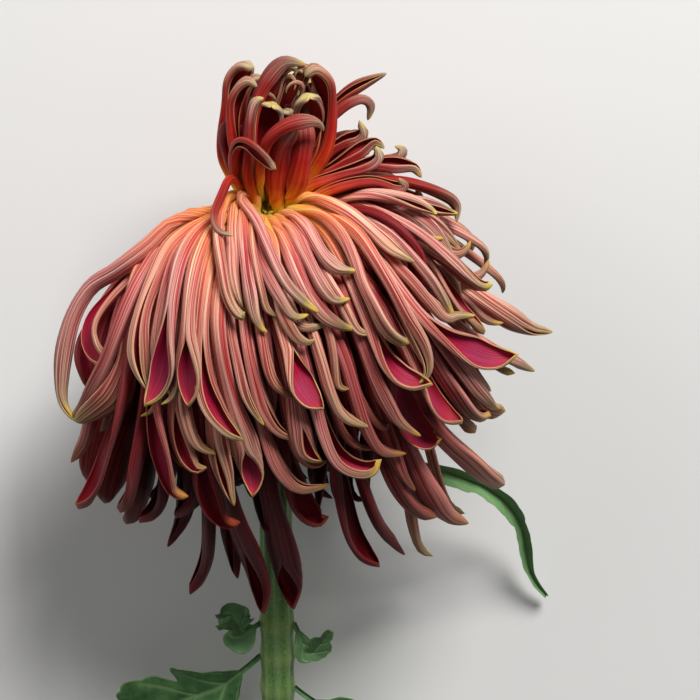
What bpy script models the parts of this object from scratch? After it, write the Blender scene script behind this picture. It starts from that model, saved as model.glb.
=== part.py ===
"""A cut spider chrysanthemum lying on a table: bloom, involucre, stem and leaves.

The flower is designed in its own frame, in millimetres: across (to the right), front
(towards the viewer) and up (along the flower's axis, away from the stem). It is then laid
down with its front upwards, so that the bloom and the cut end of the stem rest on z = 0.
"""

import math

import bmesh
import bpy
import numpy as np

MM = 0.001
OBJECT_NAME = "spider_chrysanthemum"

# How the flower lies: the place of its eye, and how much the stem falls to its cut end
EYE = np.array([10.0, -90.5, 50.0])
AXIS_TILT = math.radians(12.0)
ACROSS = np.array([-1.0, 0.0, 0.0])
UP = np.array([0.0, -math.cos(AXIS_TILT), math.sin(AXIS_TILT)])
FRONT = np.cross(ACROSS, UP)

# Where the viewer of the upright flower stands, for the florets placed by how they look
VIEW_ELEVATION = math.radians(25.0)
VIEW_DISTANCE = 750.0

# The receptacle, which carries the florets
CORE_CENTRE = np.array([0.0, 0.0, -5.0])
CORE_SIZE = np.array([12.0, 12.0, 7.5])  # half sizes of its smooth solid
ROOT_SIZE = np.array([5.0, 5.0, 3.6])  # half sizes of the dome where the floret lines start

# Widths of a floret, and the shares of its length at which its parts begin or lie
ROOT_WIDTH = 1.2
QUILL_WIDTH = 3.6
BEAK_WIDTH = 1.1
QUILL_DEPTH = 2.3
QUILL_START = 0.35
SPOON_PLACE = 0.83
SPOON_SPREAD = 0.12
SPOON_GAIN = 2.0  # width that a full spoon adds
BEAK_START = 0.86
RIM_LIFT = 0.35  # of the depth, from the line up to the rims
ROLL_START = 0.3
ROLL_SPAN = 0.5
SECTION_PLACES = (0.05, 0.22, 0.42, 0.62, 0.8, 0.91, 1.0)  # sections of its solid

# How a floret's line grows to its hooked tip
HOOK_LENGTH = 9.0
HOOK_POINTS = 12
CURVE_POINTS = 48
TIP_ROUNDS = 6

# How the lines are pushed apart
STATIONS = 30
PUSH_ROUNDS = 40
PUSH_LIMIT = 0.9
PUSH_SHARE = 0.6
HELD_LENGTH = 3.0  # of the root, which doesn't move
EASING_LENGTH = 12.0
CLOSENESS = 1.0  # how near two florets come, as a share of their widths
FLOOR_LINE = 1.7  # least height of a floret's line over the table
INVOLUCRE_ROOM = 2.6
STEM_ROOM = 4.5

# Involucre: rings of its cup as share of the height, share of the radius and depth of scallop
SEAT_GAP = 0.3  # between neighbouring solids
CORE_FLOOR = -9.3  # the receptacle is flat underneath
INVOLUCRE_RADIUS = 9.8
INVOLUCRE_BOTTOM = -17.0
BRACTS = 13
BRACT_RINGS = ((0.0, 0.42, 0.0), (0.16, 0.6, 0.0), (0.34, 0.84, 1.0), (0.36, 0.74, 0.6),
               (0.6, 0.98, 1.0), (0.62, 0.86, 0.6), (0.86, 1.08, 1.0), (0.88, 0.98, 0.6),
               (1.0, 0.96, 0.0))
SECOND_TIER = (0.6, 0.62)  # the rings turned by half a bract

# Stem
STEM_RADIUS = 4.0
STEM_RIBS = 8
STEM_RIB = 0.05  # height of the ribs, as a share of the radius
STEM_NODES = (-73.0, -121.5, -131.5, -141.5, -182.0)  # where leaves grow or grew
NODE_SWELL = 0.16
NODE_LENGTH = 3.0
NECK_SWELL = 0.06
NECK_LENGTH = 5.0

# Leaves: the stem node and the side that each grows from, then its midrib as it shows (right
# of the eye, above it, in front of the axis), the half width, how deep the lobes are cut,
# the number of lobes a side, and the angle by which each half is folded up
LEAF_THICKNESS = 0.9
LEAF_SEAT = 0.6  # from the stem's ribs to the start of a leaf's midrib
LEAVES = {
    "leaf_long": (0, 1, ((20.0, -62.0, -2.0), (38.0, -64.0, -6.0), (52.0, -70.0, -11.0),
                         (60.5, -79.0, -16.0), (63.5, -89.0, -20.0), (67.5, -96.0, -21.5)),
                  4.4, 0.4, 4, 45),
    "leaf_small_left": (1, -1, ((-8.0, -105.5, 3.0), (-11.0, -102.0, 4.0), (-14.5, -102.5, 3.0)),
                        5.5, 0.62, 2, 25),
    "leaf_small_right": (1, 1, ((8.0, -110.5, 2.5), (11.0, -108.5, 4.0), (13.5, -105.5, 6.0)),
                         3.2, 0.55, 2, 25),
    "leaf_low_left": (2, -1, ((-14.0, -118.5, -1.0), (-25.0, -122.5, -3.5), (-35.0, -129.0, -8.0),
                              (-43.0, -137.0, -12.0)), 12.5, 0.6, 3, 10),
    "leaf_low_right": (3, 1, ((10.0, -123.0, 2.0), (16.0, -126.0, 1.0), (21.0, -136.0, -4.0),
                              (25.0, -148.0, -9.0)), 8.5, 0.6, 3, 15),
}
LEAF_STATIONS = 19
LEAF_COLUMNS = 4
LEAF_CLEARANCE = 7.5  # from the long leaf's midrib to the lines of the florets
LEAF_STALK = 0.7  # half width of a leaf's stalk
STALK_SHARE = 0.12
LOBE_RISE = 0.65  # share of a lobe on its outer edge, the rest on its inner one
LOBE_LEAN = 0.45  # how far the lobes point forward
LEAF_WAVE = 0.06

# Florets placed by hand. Each row gives where the tip shows, in millimetres to the right
# of the eye and above it, how far it is in front of the axis, how far round the flower the
# root is turned from the tip, which way the tip hooks (0 outwards, 90 to the right of a
# hanging floret), how much it hooks, and how much wider the spoon is than the quill.
TOP_FLORETS = (
    (-5.0, -31.5, 40.0, 30, 60, 80, 0.1),
    (-1.0, -34.0, 41.0, 16, 35, 70, 0.0),
    (1.5, -31.0, 42.0, -8, 60, 80, 0.0),
    (2.5, -38.5, 42.0, 10, 45, 60, 0.2),
    (8.0, -39.0, 41.0, 16, 80, 90, 0.1),
    (11.0, -37.0, 41.0, 6, 80, 90, 0.2),
    (14.5, -31.0, 40.0, 18, 95, 80, 0.0),
    (13.0, -25.5, 42.0, 50, 30, 40, 0.0),
    (20.0, -26.0, 38.0, 14, 80, 80, 0.1),
    (22.0, -18.5, 37.0, 20, 95, 120, 0.3),
    (35.5, -15.5, 33.0, -6, 60, 60, 0.3),
    (21.0, -34.0, 36.0, 4, 30, 50, 0.2),
    (27.0, -34.5, 34.0, 8, 70, 80, 0.2),
    (33.0, -38.0, 30.0, 8, 60, 50, 0.4),
    (38.0, -46.0, 28.0, 4, -50, 60, 0.2),
    (-13.0, -27.0, 38.0, 10, 20, 60, 0.1),
    (-19.0, -32.0, 36.0, -4, 30, 60, 0.1),
    (-33.0, -34.0, 29.0, -10, -20, 50, 0.2),
)
SECOND_FLORETS = (
    (39.0, -48.0, 25.0, 8, 85, 110, 0.4),
    (13.0, -53.0, 39.0, 4, 5, 30, 1.4),
    (19.0, -49.0, 35.0, -4, 30, 60, 0.1),
    (23.0, -58.5, 34.0, 10, 75, 80, 0.2),
    (37.0, -59.0, 24.0, 6, 60, 60, 0.3),
    (33.0, -65.0, 26.0, 8, 80, 80, 0.3),
    (28.0, -66.0, 32.0, 20, 95, 110, 0.8),
    (14.0, -72.0, 38.0, 10, 80, 90, 0.5),
    (12.0, -64.5, 37.0, -2, 10, 30, 0.8),
    (6.0, -61.5, 40.0, 10, 60, 60, 0.3),
    (4.5, -50.5, 39.0, -4, 15, 50, 0.3),
    (-2.0, -57.0, 40.0, -4, 10, 40, 0.3),
    (-7.5, -61.0, 42.0, 18, 75, 80, 0.6),
    (-15.0, -65.0, 39.0, 6, 50, 50, 0.3),
    (-19.0, -52.0, 38.0, -6, 5, 30, 1.0),
    (-25.0, -53.0, 35.0, -8, -15, 50, 0.4),
    (-29.0, -52.0, 33.0, -12, 0, 40, 0.9),
    (-31.0, -55.5, 31.0, -10, -60, 60, 0.3),
    (-38.0, -50.0, 24.0, -8, 30, 40, 0.4),
)
THIRD_FLORETS = (
    (42.5, -60.0, 16.0, 0, 40, 30, 1.2),
    (35.0, -69.0, 20.0, 6, 60, 50, 0.3),
    (25.0, -64.0, 28.0, 0, 60, 60, 0.2),
    (12.0, -79.0, 34.0, -2, 20, 40, 0.9),
    (-4.5, -74.0, 37.0, -2, 20, 40, 0.6),
    (-8.5, -75.5, 36.0, -6, 0, 30, 0.3),
    (-11.5, -77.5, 33.0, -4, -10, 30, 0.6),
    (-15.5, -66.5, 34.0, -2, 50, 60, 0.2),
    (-23.0, -71.0, 31.0, -6, 10, 30, 0.6),
    (-34.0, -77.0, 20.0, -4, 0, 30, 1.4),
    (-31.0, -79.0, 16.0, -4, 0, 30, 1.0),
    (-44.0, -75.0, 8.0, -6, 0, 20, 1.8),
    (-46.0, -65.0, 4.0, -6, -40, 60, 0.6),
    (-22.5, -80.0, 24.0, -4, 10, 30, 0.4),
    (44.0, -56.0, 12.0, 0, 50, 50, 1.0),
    (57.0, -70.0, 4.0, 2, 20, 30, 0.8),
)
UNDER_FLORETS = (
    (-25.0, -84.0, 12.0, -2, 0, 30, 0.5),
    (-17.0, -97.0, 14.0, -2, 0, 20, 0.6),
    (-13.0, -95.0, 8.0, 0, 0, 20, 0.5),
    (-9.0, -90.0, 18.0, -4, 30, 40, 0.3),
    (-3.0, -100.0, 16.0, -2, -20, 20, 0.9),
    (6.0, -99.0, 18.0, 0, 10, 30, 0.8),
    (24.0, -90.0, 20.0, -2, 30, 40, 0.7),
    (30.0, -89.0, 12.0, 0, 50, 60, 0.3),
    (41.0, -79.0, 12.0, 0, 30, 50, 0.8),
    (47.0, -82.0, 4.0, 0, 20, 50, 0.7),
    (43.0, -84.0, -4.0, -2, 0, 40, 0.4),
    (3.5, -77.0, 30.0, 6, 30, 40, 0.7),
    (-1.0, -86.0, 25.0, 4, 20, 30, 0.8),
    (9.5, -85.0, 26.0, 2, 40, 40, 0.6),
    (1.5, -68.0, 34.0, 8, 40, 50, 0.5),
)
LEFT_FLORETS = (
    (-49.0, -56.0, 10.0, -6, 130, 70, 0.3),
    (-51.0, -47.0, 2.0, -4, 120, 60, 0.4),
    (-46.0, -52.0, 16.0, -8, 20, 40, 0.6),
    (-43.0, -40.0, 22.0, -8, -20, 50, 0.2),
    (-44.0, -60.0, 12.0, -6, 10, 30, 1.2),
    (-38.0, -64.0, 18.0, -6, 0, 30, 1.2),
)
RIGHT_FLORETS = (
    (47.0, -4.0, 6.0, -8, -60, 50, 0.4),
    (42.0, -4.5, 14.0, -6, -80, 50, 0.2),
    (39.0, -9.5, 22.0, -4, -85, 90, 0.3),
    (54.5, -23.5, 22.0, 6, 40, 40, 0.8),
    (50.0, -31.0, 26.0, 6, 60, 50, 0.1),
    (50.5, -34.0, 28.0, 4, -70, 60, 0.3),
    (60.5, -39.5, 24.0, 8, 50, 40, 1.2),
    (66.0, -41.0, 20.0, 6, 30, 20, 0.5),
    (59.0, -44.5, 22.0, 4, 60, 40, 0.3),
    (56.5, -52.0, 20.0, 2, 50, 60, 0.6),
    (57.0, -56.0, 16.0, 0, 50, 40, 0.6),
    (51.0, -55.0, 24.0, 2, 30, 40, 1.0),
    (49.5, -12.0, -18.0, -8, 150, 60, 0.5),
    (53.5, -15.0, -14.0, -6, 150, 60, 0.5),
    (58.0, -22.0, -20.0, -6, 140, 40, 0.4),
    (69.0, -32.0, -12.0, -4, 20, 20, 0.9),
)
TUFT_FLORETS = (
    (-3.3, 33.2, -7.0, -50, -80, 120, 0.4),
    (-3.8, 32.0, -4.0, -26, -60, 90, 0.3),
    (-2.5, 26.5, -1.0, -17, -60, 100, 0.2),
    (-0.3, 28.5, -3.0, -39, -70, 100, 0.2),
    (-7.5, 24.0, -6.0, -28, -20, 50, 0.8),
    (-8.5, 28.0, -8.0, -25, -40, 50, 0.6),
    (3.3, 34.5, -7.0, -45, -40, 90, 0.3),
    (6.3, 35.0, -5.0, -57, -40, 80, 0.3),
    (9.3, 34.3, -9.0, -36, -60, 90, 0.3),
    (11.5, 31.0, -6.0, -42, -60, 80, 0.3),
    (14.5, 27.3, -9.0, -28, -30, 60, 0.5),
    (5.0, 26.0, -4.0, -30, 0, 60, 0.6),
)
RAYED_FLORETS = (
    (28.8, 31.5, -14.0, -24, 20, 20, 0.3),
    (24.8, 20.0, -12.0, -16, -80, 100, 0.2),
    (24.5, 19.0, -16.0, -6, -40, 50, 0.5),
    (26.5, 13.8, -6.0, -4, -60, 70, 0.5),
    (31.5, 12.8, -12.0, -4, -40, 60, 0.6),
    (35.5, 5.8, -8.0, -4, -60, 60, 0.8),
    (32.8, 2.0, -2.0, 4, -60, 60, 0.3),
    (36.3, -0.5, -10.0, 4, -40, 60, 0.4),
)
FOLDED_FLORETS = (
    (14.5, 17.8, 6.0, 160, -60, 60, 0.4),
    (1.5, 8.0, 9.0, 80, 0, 30, 0.9),
    (-9.3, -9.5, 19.0, 40, 60, 50, 0.2),
)
# How the florets of each row leave the receptacle: angle of the root from the axis, how
# straight down they end (0 straight on, 1 down) and how far they arch
HAND_ROWS = (
    (TOP_FLORETS, 58, 0.75, 1.15),
    (SECOND_FLORETS, 72, 0.85, 1.15),
    (THIRD_FLORETS, 86, 0.9, 1.1),
    (UNDER_FLORETS, 100, 0.95, 0.95),
    (LEFT_FLORETS, 70, 1.0, 1.3),
    (RIGHT_FLORETS, 66, 0.35, 0.9),
    (TUFT_FLORETS, 40, 0.0, 1.0),
    (RAYED_FLORETS, 42, 0.1, 0.9),
    (FOLDED_FLORETS, 36, 0.6, 1.2),
)
# Florets placed by a seeded rule: count, first and last bearing round the flower (90 is the
# front), root angle, reach of the tips from the axis, their drop, arch, and the step with
# which they are built as solids (2 is every other one, 0 none: these fill the inside)
RULE_ROWS = (
    (7, 262, 345, 60, (36, 44), (6, 20), 1.1, 1),
    (9, 188, 268, 84, (36, 44), (30, 44), 0.95, 1),
    (8, 268, 350, 72, (40, 48), (24, 44), 1.1, 1),
    (11, 186, 354, 88, (36, 44), (46, 66), 1.05, 1),
    (9, 180, 360, 98, (26, 36), (64, 88), 1.05, 1),
    (10, 24, 150, 52, (24, 34), (2, 12), 1.0, 0),
    (14, 6, 174, 66, (32, 38), (16, 34), 1.1, 0),
    (14, 20, 160, 80, (30, 36), (40, 60), 1.1, 1),
    (10, 10, 170, 92, (24, 34), (58, 84), 1.0, 2),
    (8, 0, 360, 16, (2, 5), (-11, -7), 0.8, 0),
)
SEED = 11
ROOT_SPREAD = 6.0  # degrees by which root angles vary
TURN_SPREAD = 14.0
STEP_SPREAD = 0.4
RULE_ROLLS = (-70, 90)
RULE_HOOKS = (30, 100)
RULE_SPOONS = (0.1, 0.9)
RULE_SAG = 0.85
HEART_ANGLE = 40  # rows that start nearer the axis than this stand straight


def unit(vectors):
    """The vectors scaled to length one."""
    return vectors / np.linalg.norm(vectors, axis=-1, keepdims=True)


def laid_down(points):
    """Carry points from the flower's frame to the frame of the part."""
    return EYE + points[..., :1] * ACROSS + points[..., 1:2] * FRONT + points[..., 2:3] * UP


def stood_up(points):
    """Carry points from the frame of the part back to the flower's frame."""
    offset = points - EYE
    return np.stack([(offset * axis).sum(-1) for axis in (ACROSS, FRONT, UP)], -1)


def seen_at(right, above, front):
    """The point in the flower's frame that the viewer sees there, so far in front."""
    sine, cosine = math.sin(VIEW_ELEVATION), math.cos(VIEW_ELEVATION)
    across, up = right, above
    for _ in range(4):
        nearness = 1.0 - (front * cosine + up * sine) / VIEW_DISTANCE
        across = right * nearness
        up = (above * nearness + front * sine) / cosine
    return np.stack([across, front, up], -1)


def root_directions(angle, bearing):
    """Outward directions at the receptacle's skin, from angles off the axis and bearings."""
    a, b = np.radians(angle), np.radians(bearing)
    return np.stack([np.sin(a) * np.cos(b), np.sin(a) * np.sin(b), np.cos(a)], -1)


def floret_plan():
    """Every floret's root direction, tip, sag, arch, roll, hook, spoon, and if it is solid."""
    draw = np.random.default_rng(SEED)
    plan = []
    for florets, angle, sag, arch in HAND_ROWS:
        rows = np.array(florets)
        tip = seen_at(rows[:, 0], rows[:, 1], rows[:, 2])
        bearing = np.degrees(np.arctan2(tip[:, 1], tip[:, 0])) + rows[:, 3]
        angles = angle + draw.uniform(-ROOT_SPREAD, ROOT_SPREAD, len(rows))
        plan.append((root_directions(angles, bearing), tip, np.full(len(rows), sag),
                     np.full(len(rows), arch), rows[:, 4], rows[:, 5], rows[:, 6],
                     np.ones(len(rows), bool)))
    for count, first, last, angle, reach, drop, arch, every in RULE_ROWS:
        step = (last - first) / count
        place = np.arange(count) + 0.5 + draw.uniform(-STEP_SPREAD, STEP_SPREAD, count)
        bearing = first + step * place
        radius = draw.uniform(*reach, count)
        tip = np.stack([radius * np.cos(np.radians(bearing)), radius * np.sin(np.radians(bearing)),
                        -draw.uniform(*drop, count)], -1)
        turned = bearing + draw.uniform(-TURN_SPREAD, TURN_SPREAD, count)
        angles = angle + draw.uniform(-ROOT_SPREAD, ROOT_SPREAD, count)
        sag = np.full(count, RULE_SAG if angle > HEART_ANGLE else 0.0)
        plan.append((root_directions(angles, turned), tip, sag, np.full(count, arch),
                     draw.uniform(*RULE_ROLLS, count), draw.uniform(*RULE_HOOKS, count),
                     draw.uniform(*RULE_SPOONS, count),
                     np.arange(count) % max(every, 1) == (0 if every else -1)))
    return [np.concatenate(column) for column in zip(*plan)]


def even_line(line, count):
    """The same lines with their points spread evenly along them."""
    steps = np.linalg.norm(np.diff(line, axis=1), axis=-1)
    along = np.concatenate([np.zeros((len(line), 1)), np.cumsum(steps, axis=1)], axis=1)
    even = np.empty((len(line), count, 3))
    for i in range(len(line)):
        wanted = np.linspace(0.0, along[i, -1], count)
        for axis in range(3):
            even[i, :, axis] = np.interp(wanted, along[i], line[i, :, axis])
    return even


def floret_frames(line, normal, roll):
    """Tangents, normals towards the slot side, and sides, turned by the roll to the tip."""
    tangent = unit(np.gradient(line, axis=1))
    upright = np.empty_like(line)
    current = normal
    for k in range(line.shape[1]):
        along = (current * tangent[:, k]).sum(-1, keepdims=True)
        current = unit(current - along * tangent[:, k])
        upright[:, k] = current
    share = np.clip((np.linspace(0, 1, line.shape[1]) - ROLL_START) / ROLL_SPAN, 0.0, 1.0)
    angle = np.radians(roll)[:, None, None] * (share ** 2 * (3 - 2 * share))[None, :, None]
    side = np.cross(upright, tangent)
    slot = np.cos(angle) * upright + np.sin(angle) * side
    return tangent, slot, np.cross(slot, tangent)


def grown_lines(outward, tip, sag, arch, roll, hook):
    """Each floret's line: out of the receptacle, over, down, and round its hooked tip."""
    root = CORE_CENTRE + outward * ROOT_SIZE
    flat = outward * np.array([1.0, 1.0, 0.0])
    normal = unit(np.array([0.0, 0.0, 1.0]) - outward * outward[:, 2:3] - 0.001 * flat)
    t = np.linspace(0.0, 1.0, CURVE_POINTS)[None, :, None]
    knee = tip.copy()
    bend = np.radians(hook)[:, None, None]
    for _ in range(TIP_ROUNDS):
        chord = np.linalg.norm(knee - root, axis=-1, keepdims=True)
        onward = (knee - root) / chord
        down = sag[:, None] * np.array([0.0, 0.0, -1.0]) + (1 - sag[:, None]) * onward
        leave = (outward * chord * arch[:, None])[:, None]
        arrive = (unit(down) * chord * arch[:, None])[:, None]
        line = ((2 * t ** 3 - 3 * t ** 2 + 1) * root[:, None] + (t ** 3 - 2 * t ** 2 + t) * leave
                + (3 * t ** 2 - 2 * t ** 3) * knee[:, None] + (t ** 3 - t ** 2) * arrive)
        line = even_line(line, CURVE_POINTS)
        tangent, slot, _ = floret_frames(line, normal, roll)
        turn = bend * np.linspace(1 / HOOK_POINTS, 1.0, HOOK_POINTS)[None, :, None]
        ahead, aside = np.sin(turn) * tangent[:, -1:], (1 - np.cos(turn)) * slot[:, -1:]
        curl = HOOK_LENGTH / bend * (ahead + aside)
        line = np.concatenate([line, line[:, -1:] + curl], axis=1)
        knee = knee + (tip - line[:, -1])
    return even_line(line, STATIONS), normal


def smoothed(values, rounds):
    """Values along each line, blurred so many times, with the root's value kept."""
    for _ in range(rounds):
        inner = 0.25 * values[:, :-2] + 0.5 * values[:, 1:-1] + 0.25 * values[:, 2:]
        end = 0.5 * (values[:, -2:-1] + values[:, -1:])
        values = np.concatenate([values[:, :1], inner, end], axis=1)
    return values


def pushed_apart(line, spoon):
    """Move the lines off each other, off the stem and off the table, roots held fast."""
    count = len(line)
    length = np.linalg.norm(np.diff(line, axis=1), axis=-1).sum(1)
    reached = np.linspace(0, 1, STATIONS)[None, :] * length[:, None]
    free = np.clip((reached - HELD_LENGTH) / EASING_LENGTH, 0.0, 1.0)[..., None]
    room = floret_widths(np.linspace(0, 1, STATIONS), spoon) * CLOSENESS / 2
    rooms = room.ravel()
    owner = np.repeat(np.arange(count), STATIONS)
    for _ in range(PUSH_ROUNDS):
        points = line.reshape(-1, 3)
        push = np.zeros_like(points)
        for i in range(count):
            own = line[i]
            low, high = own.min(0) - 2 * QUILL_WIDTH, own.max(0) + 2 * QUILL_WIDTH
            near = np.nonzero(((points > low) & (points < high)).all(-1) & (owner != i))[0]
            gap = own[:, None] - points[near][None]
            distance = np.sqrt((gap ** 2).sum(-1)) + 1e-6
            wanted = room[i][:, None] + rooms[near][None]
            weight = np.clip(wanted - distance, 0.0, None) / distance
            push[i * STATIONS:(i + 1) * STATIONS] = (gap * weight[..., None]).sum(1)
        push = push.reshape(line.shape)
        size = np.linalg.norm(push, axis=-1, keepdims=True) + 1e-9
        push = push * np.minimum(1.0, PUSH_LIMIT / size)
        line = line + smoothed(push * free, 3) * PUSH_SHARE
        line = line + smoothed(clear_of_axis(line) * free, 2)
        line = line + smoothed(clear_of_leaf(line) * free, 2)
        line = line + smoothed(clear_of_table(line) * free, 2)
    return line


def clear_of_axis(line):
    """How far each point has to move out from the involucre and the stem."""
    radius = np.linalg.norm(line[..., :2], axis=-1, keepdims=True) + 1e-6
    height = line[..., 2:3]
    need = np.where(height < CORE_FLOOR + QUILL_DEPTH, INVOLUCRE_RADIUS + INVOLUCRE_ROOM, 0.0)
    need = np.where(height < INVOLUCRE_BOTTOM - QUILL_WIDTH, STEM_RADIUS + STEM_ROOM, need)
    out = np.clip(need - radius, 0.0, 1.0)
    return np.concatenate([line[..., :2] / radius * out, np.zeros_like(out)], -1)


def clear_of_leaf(line):
    """How far each point has to move away from the long leaf, which hangs beside the bloom."""
    midrib = leaf_midrib("leaf_long", 16)
    move = np.zeros_like(line)
    for point in midrib:
        away = line - point
        distance = np.linalg.norm(away, axis=-1, keepdims=True) + 1e-6
        move += away / distance * np.clip(LEAF_CLEARANCE - distance, 0.0, 1.0) * 0.5
    return move


def clear_of_table(line):
    """How far each point has to rise to lie on the table."""
    height = laid_down(line)[..., 2:3]
    rise = np.clip(FLOOR_LINE - height, 0.0, 3.0)
    return rise * np.array([0.0, math.cos(AXIS_TILT), math.sin(AXIS_TILT)])


def floret_widths(share, spoon):
    """Full width along a floret: narrow root, quill, spoon and beak."""
    swell = np.clip(share / QUILL_START, 0, 1)
    quill = ROOT_WIDTH + (QUILL_WIDTH - ROOT_WIDTH) * swell ** 1.2
    bowl = np.exp(-((share - SPOON_PLACE) / SPOON_SPREAD) ** 2)
    width = quill + spoon[:, None] * SPOON_GAIN * bowl
    beak = np.clip((share - BEAK_START) / (1 - BEAK_START), 0, 1) ** 1.6
    return width * (1 - beak) + BEAK_WIDTH * beak


def collection_named(name):
    """A new collection in the scene."""
    made = bpy.data.collections.new(name)
    bpy.context.scene.collection.children.link(made)
    return made


def material_named(name, colour, roughness):
    """A plain material of that colour and roughness."""
    made = bpy.data.materials.new(name)
    made.use_nodes = True
    shader = made.node_tree.nodes["Principled BSDF"]
    shader.inputs["Base Color"].default_value = (*colour, 1.0)
    shader.inputs["Roughness"].default_value = roughness
    shader.inputs["Metallic"].default_value = 0.0
    return made


def object_named(name, mesh, collection, material=None):
    """A new object on a mesh, in a collection."""
    made = bpy.data.objects.new(name, mesh)
    collection.objects.link(made)
    if material is not None:
        mesh.materials.append(material)
    return made


def lofted_mesh(name, rings):
    """A closed mesh through rings of points, all with the same number of corners."""
    rows, corners = rings.shape[:2]
    shape = bmesh.new()
    vertices = [[shape.verts.new(point * MM) for point in ring] for ring in rings]
    for low, high in zip(vertices, vertices[1:]):
        for k in range(corners):
            shape.faces.new((low[k - 1], low[k], high[k], high[k - 1]))
    shape.faces.new(vertices[0][::-1])
    shape.faces.new(vertices[-1])
    bmesh.ops.triangulate(shape, faces=shape.faces)
    bmesh.ops.recalc_face_normals(shape, faces=shape.faces)
    mesh = bpy.data.meshes.new(name)
    shape.to_mesh(mesh)
    shape.free()
    return mesh


def floret_rings(line, normal, roll, spoon):
    """Three-cornered sections: two rims on the slot side and a keel under them."""
    tangent, slot, side = floret_frames(line, normal, roll)
    pick = np.round(np.array(SECTION_PLACES) * (STATIONS - 1)).astype(int)
    width = floret_widths(pick / (STATIONS - 1), spoon)[..., None]
    depth = np.minimum(width, QUILL_DEPTH)
    middle, slot, side = line[:, pick], slot[:, pick], side[:, pick]
    left = middle - side * width / 2 + slot * depth * RIM_LIFT
    right = middle + side * width / 2 + slot * depth * RIM_LIFT
    keel = middle - slot * depth * (1 - RIM_LIFT)
    rings = laid_down(np.stack([left, keel, right], axis=2))
    rings[..., 2] = np.maximum(rings[..., 2], 0.0)
    return rings


def union_of(body, additions):
    """One solid from a body and a collection of solids, which is then removed."""
    joined = body.modifiers.new("joined", "BOOLEAN")
    joined.operation = "UNION"
    joined.operand_type = "COLLECTION"
    joined.collection = additions
    joined.solver = "EXACT"
    evaluated = body.evaluated_get(bpy.context.evaluated_depsgraph_get())
    mesh = bpy.data.meshes.new_from_object(evaluated)
    body.modifiers.clear()
    body.data = mesh
    for piece in list(additions.objects):
        bpy.data.objects.remove(piece)
    bpy.data.collections.remove(additions)


def keep_largest(mesh):
    """Drop the union's spare corners, and fill the hollows that it sealed."""
    shape = bmesh.new()
    shape.from_mesh(mesh)
    spare = [vertex for vertex in shape.verts if len(vertex.link_edges) == 2]
    bmesh.ops.dissolve_verts(shape, verts=spare)
    bmesh.ops.triangulate(shape, faces=shape.faces)
    skins = []
    unseen = set(shape.faces)
    while unseen:
        skin = []
        waiting = [unseen.pop()]
        while waiting:
            face = waiting.pop()
            skin.append(face)
            for edge in face.edges:
                for other in edge.link_faces if len(edge.link_faces) == 2 else ():
                    if other in unseen:
                        unseen.remove(other)
                        waiting.append(other)
        skins.append(skin)
    skins.sort(key=len)
    for skin in skins[:-1]:
        bmesh.ops.delete(shape, geom=skin, context="FACES")
    shape.to_mesh(mesh)
    shape.free()


def make_bloom(collection):
    """The receptacle with every floret fused to it."""
    outward, tip, sag, arch, roll, hook, spoon, solid = floret_plan()
    line, normal = grown_lines(outward, tip, sag, arch, roll, hook)
    line = pushed_apart(line, spoon)
    florets = collection_named("florets")
    for number, rings in enumerate(floret_rings(line, normal, roll, spoon)):
        if solid[number]:
            object_named(f"floret_{number}", lofted_mesh("floret", rings), florets)
    core = bmesh.new()
    bmesh.ops.create_icosphere(core, subdivisions=2, radius=1.0)
    mesh = bpy.data.meshes.new("bloom")
    core.to_mesh(mesh)
    core.free()
    points = np.array([vertex.co for vertex in mesh.vertices])
    points = CORE_CENTRE + points * CORE_SIZE
    points[:, 2] = np.maximum(points[:, 2], CORE_FLOOR)
    points = laid_down(points)
    mesh.vertices.foreach_set("co", (points * MM).ravel())
    colour = material_named("floret_pink", (0.62, 0.22, 0.19), 0.6)
    bloom = object_named("bloom", mesh, collection, colour)
    union_of(bloom, florets)
    keep_largest(bloom.data)


def make_involucre(collection):
    """The green cup under the bloom: three tiers of bracts, their tips a scalloped rim."""
    corner = np.arange(2 * BRACTS) * math.pi / BRACTS
    tip = np.where(np.arange(2 * BRACTS) % 2 == 0, 1.0, 0.0)
    depth = CORE_FLOOR - SEAT_GAP - INVOLUCRE_BOTTOM
    rings = []
    for share, radius, scallop in BRACT_RINGS:
        along = corner + (math.pi / BRACTS if share in SECOND_TIER else 0.0)
        across = INVOLUCRE_RADIUS * radius * (1.0 - 0.06 * (1 - tip) * scallop)
        up = INVOLUCRE_BOTTOM + depth * (share - 0.1 * (1 - tip) * scallop)
        rings.append(np.stack([across * np.cos(along), across * np.sin(along),
                               up * np.ones_like(along)], -1))
    colour = material_named("bract_green", (0.12, 0.2, 0.06), 0.6)
    object_named("involucre", lofted_mesh("involucre", laid_down(np.array(rings))), collection, colour)


def stem_radius(height):
    """The stem's radius at heights along it: wider at its leaf nodes and under the bloom."""
    swell = np.zeros_like(height)
    for node in STEM_NODES:
        swell = swell + NODE_SWELL * np.exp(-((height - node) / NODE_LENGTH) ** 2)
    swell = swell + NECK_SWELL * np.exp((height - INVOLUCRE_BOTTOM) / NECK_LENGTH)
    return STEM_RADIUS * (1.0 + swell)


def stem_foot():
    """The height at which the stem's ribbed end just meets the table."""
    low = STEM_RADIUS * (1 + STEM_RIB) * math.cos(AXIS_TILT)
    return -(EYE[2] - low) / math.sin(AXIS_TILT)


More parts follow.
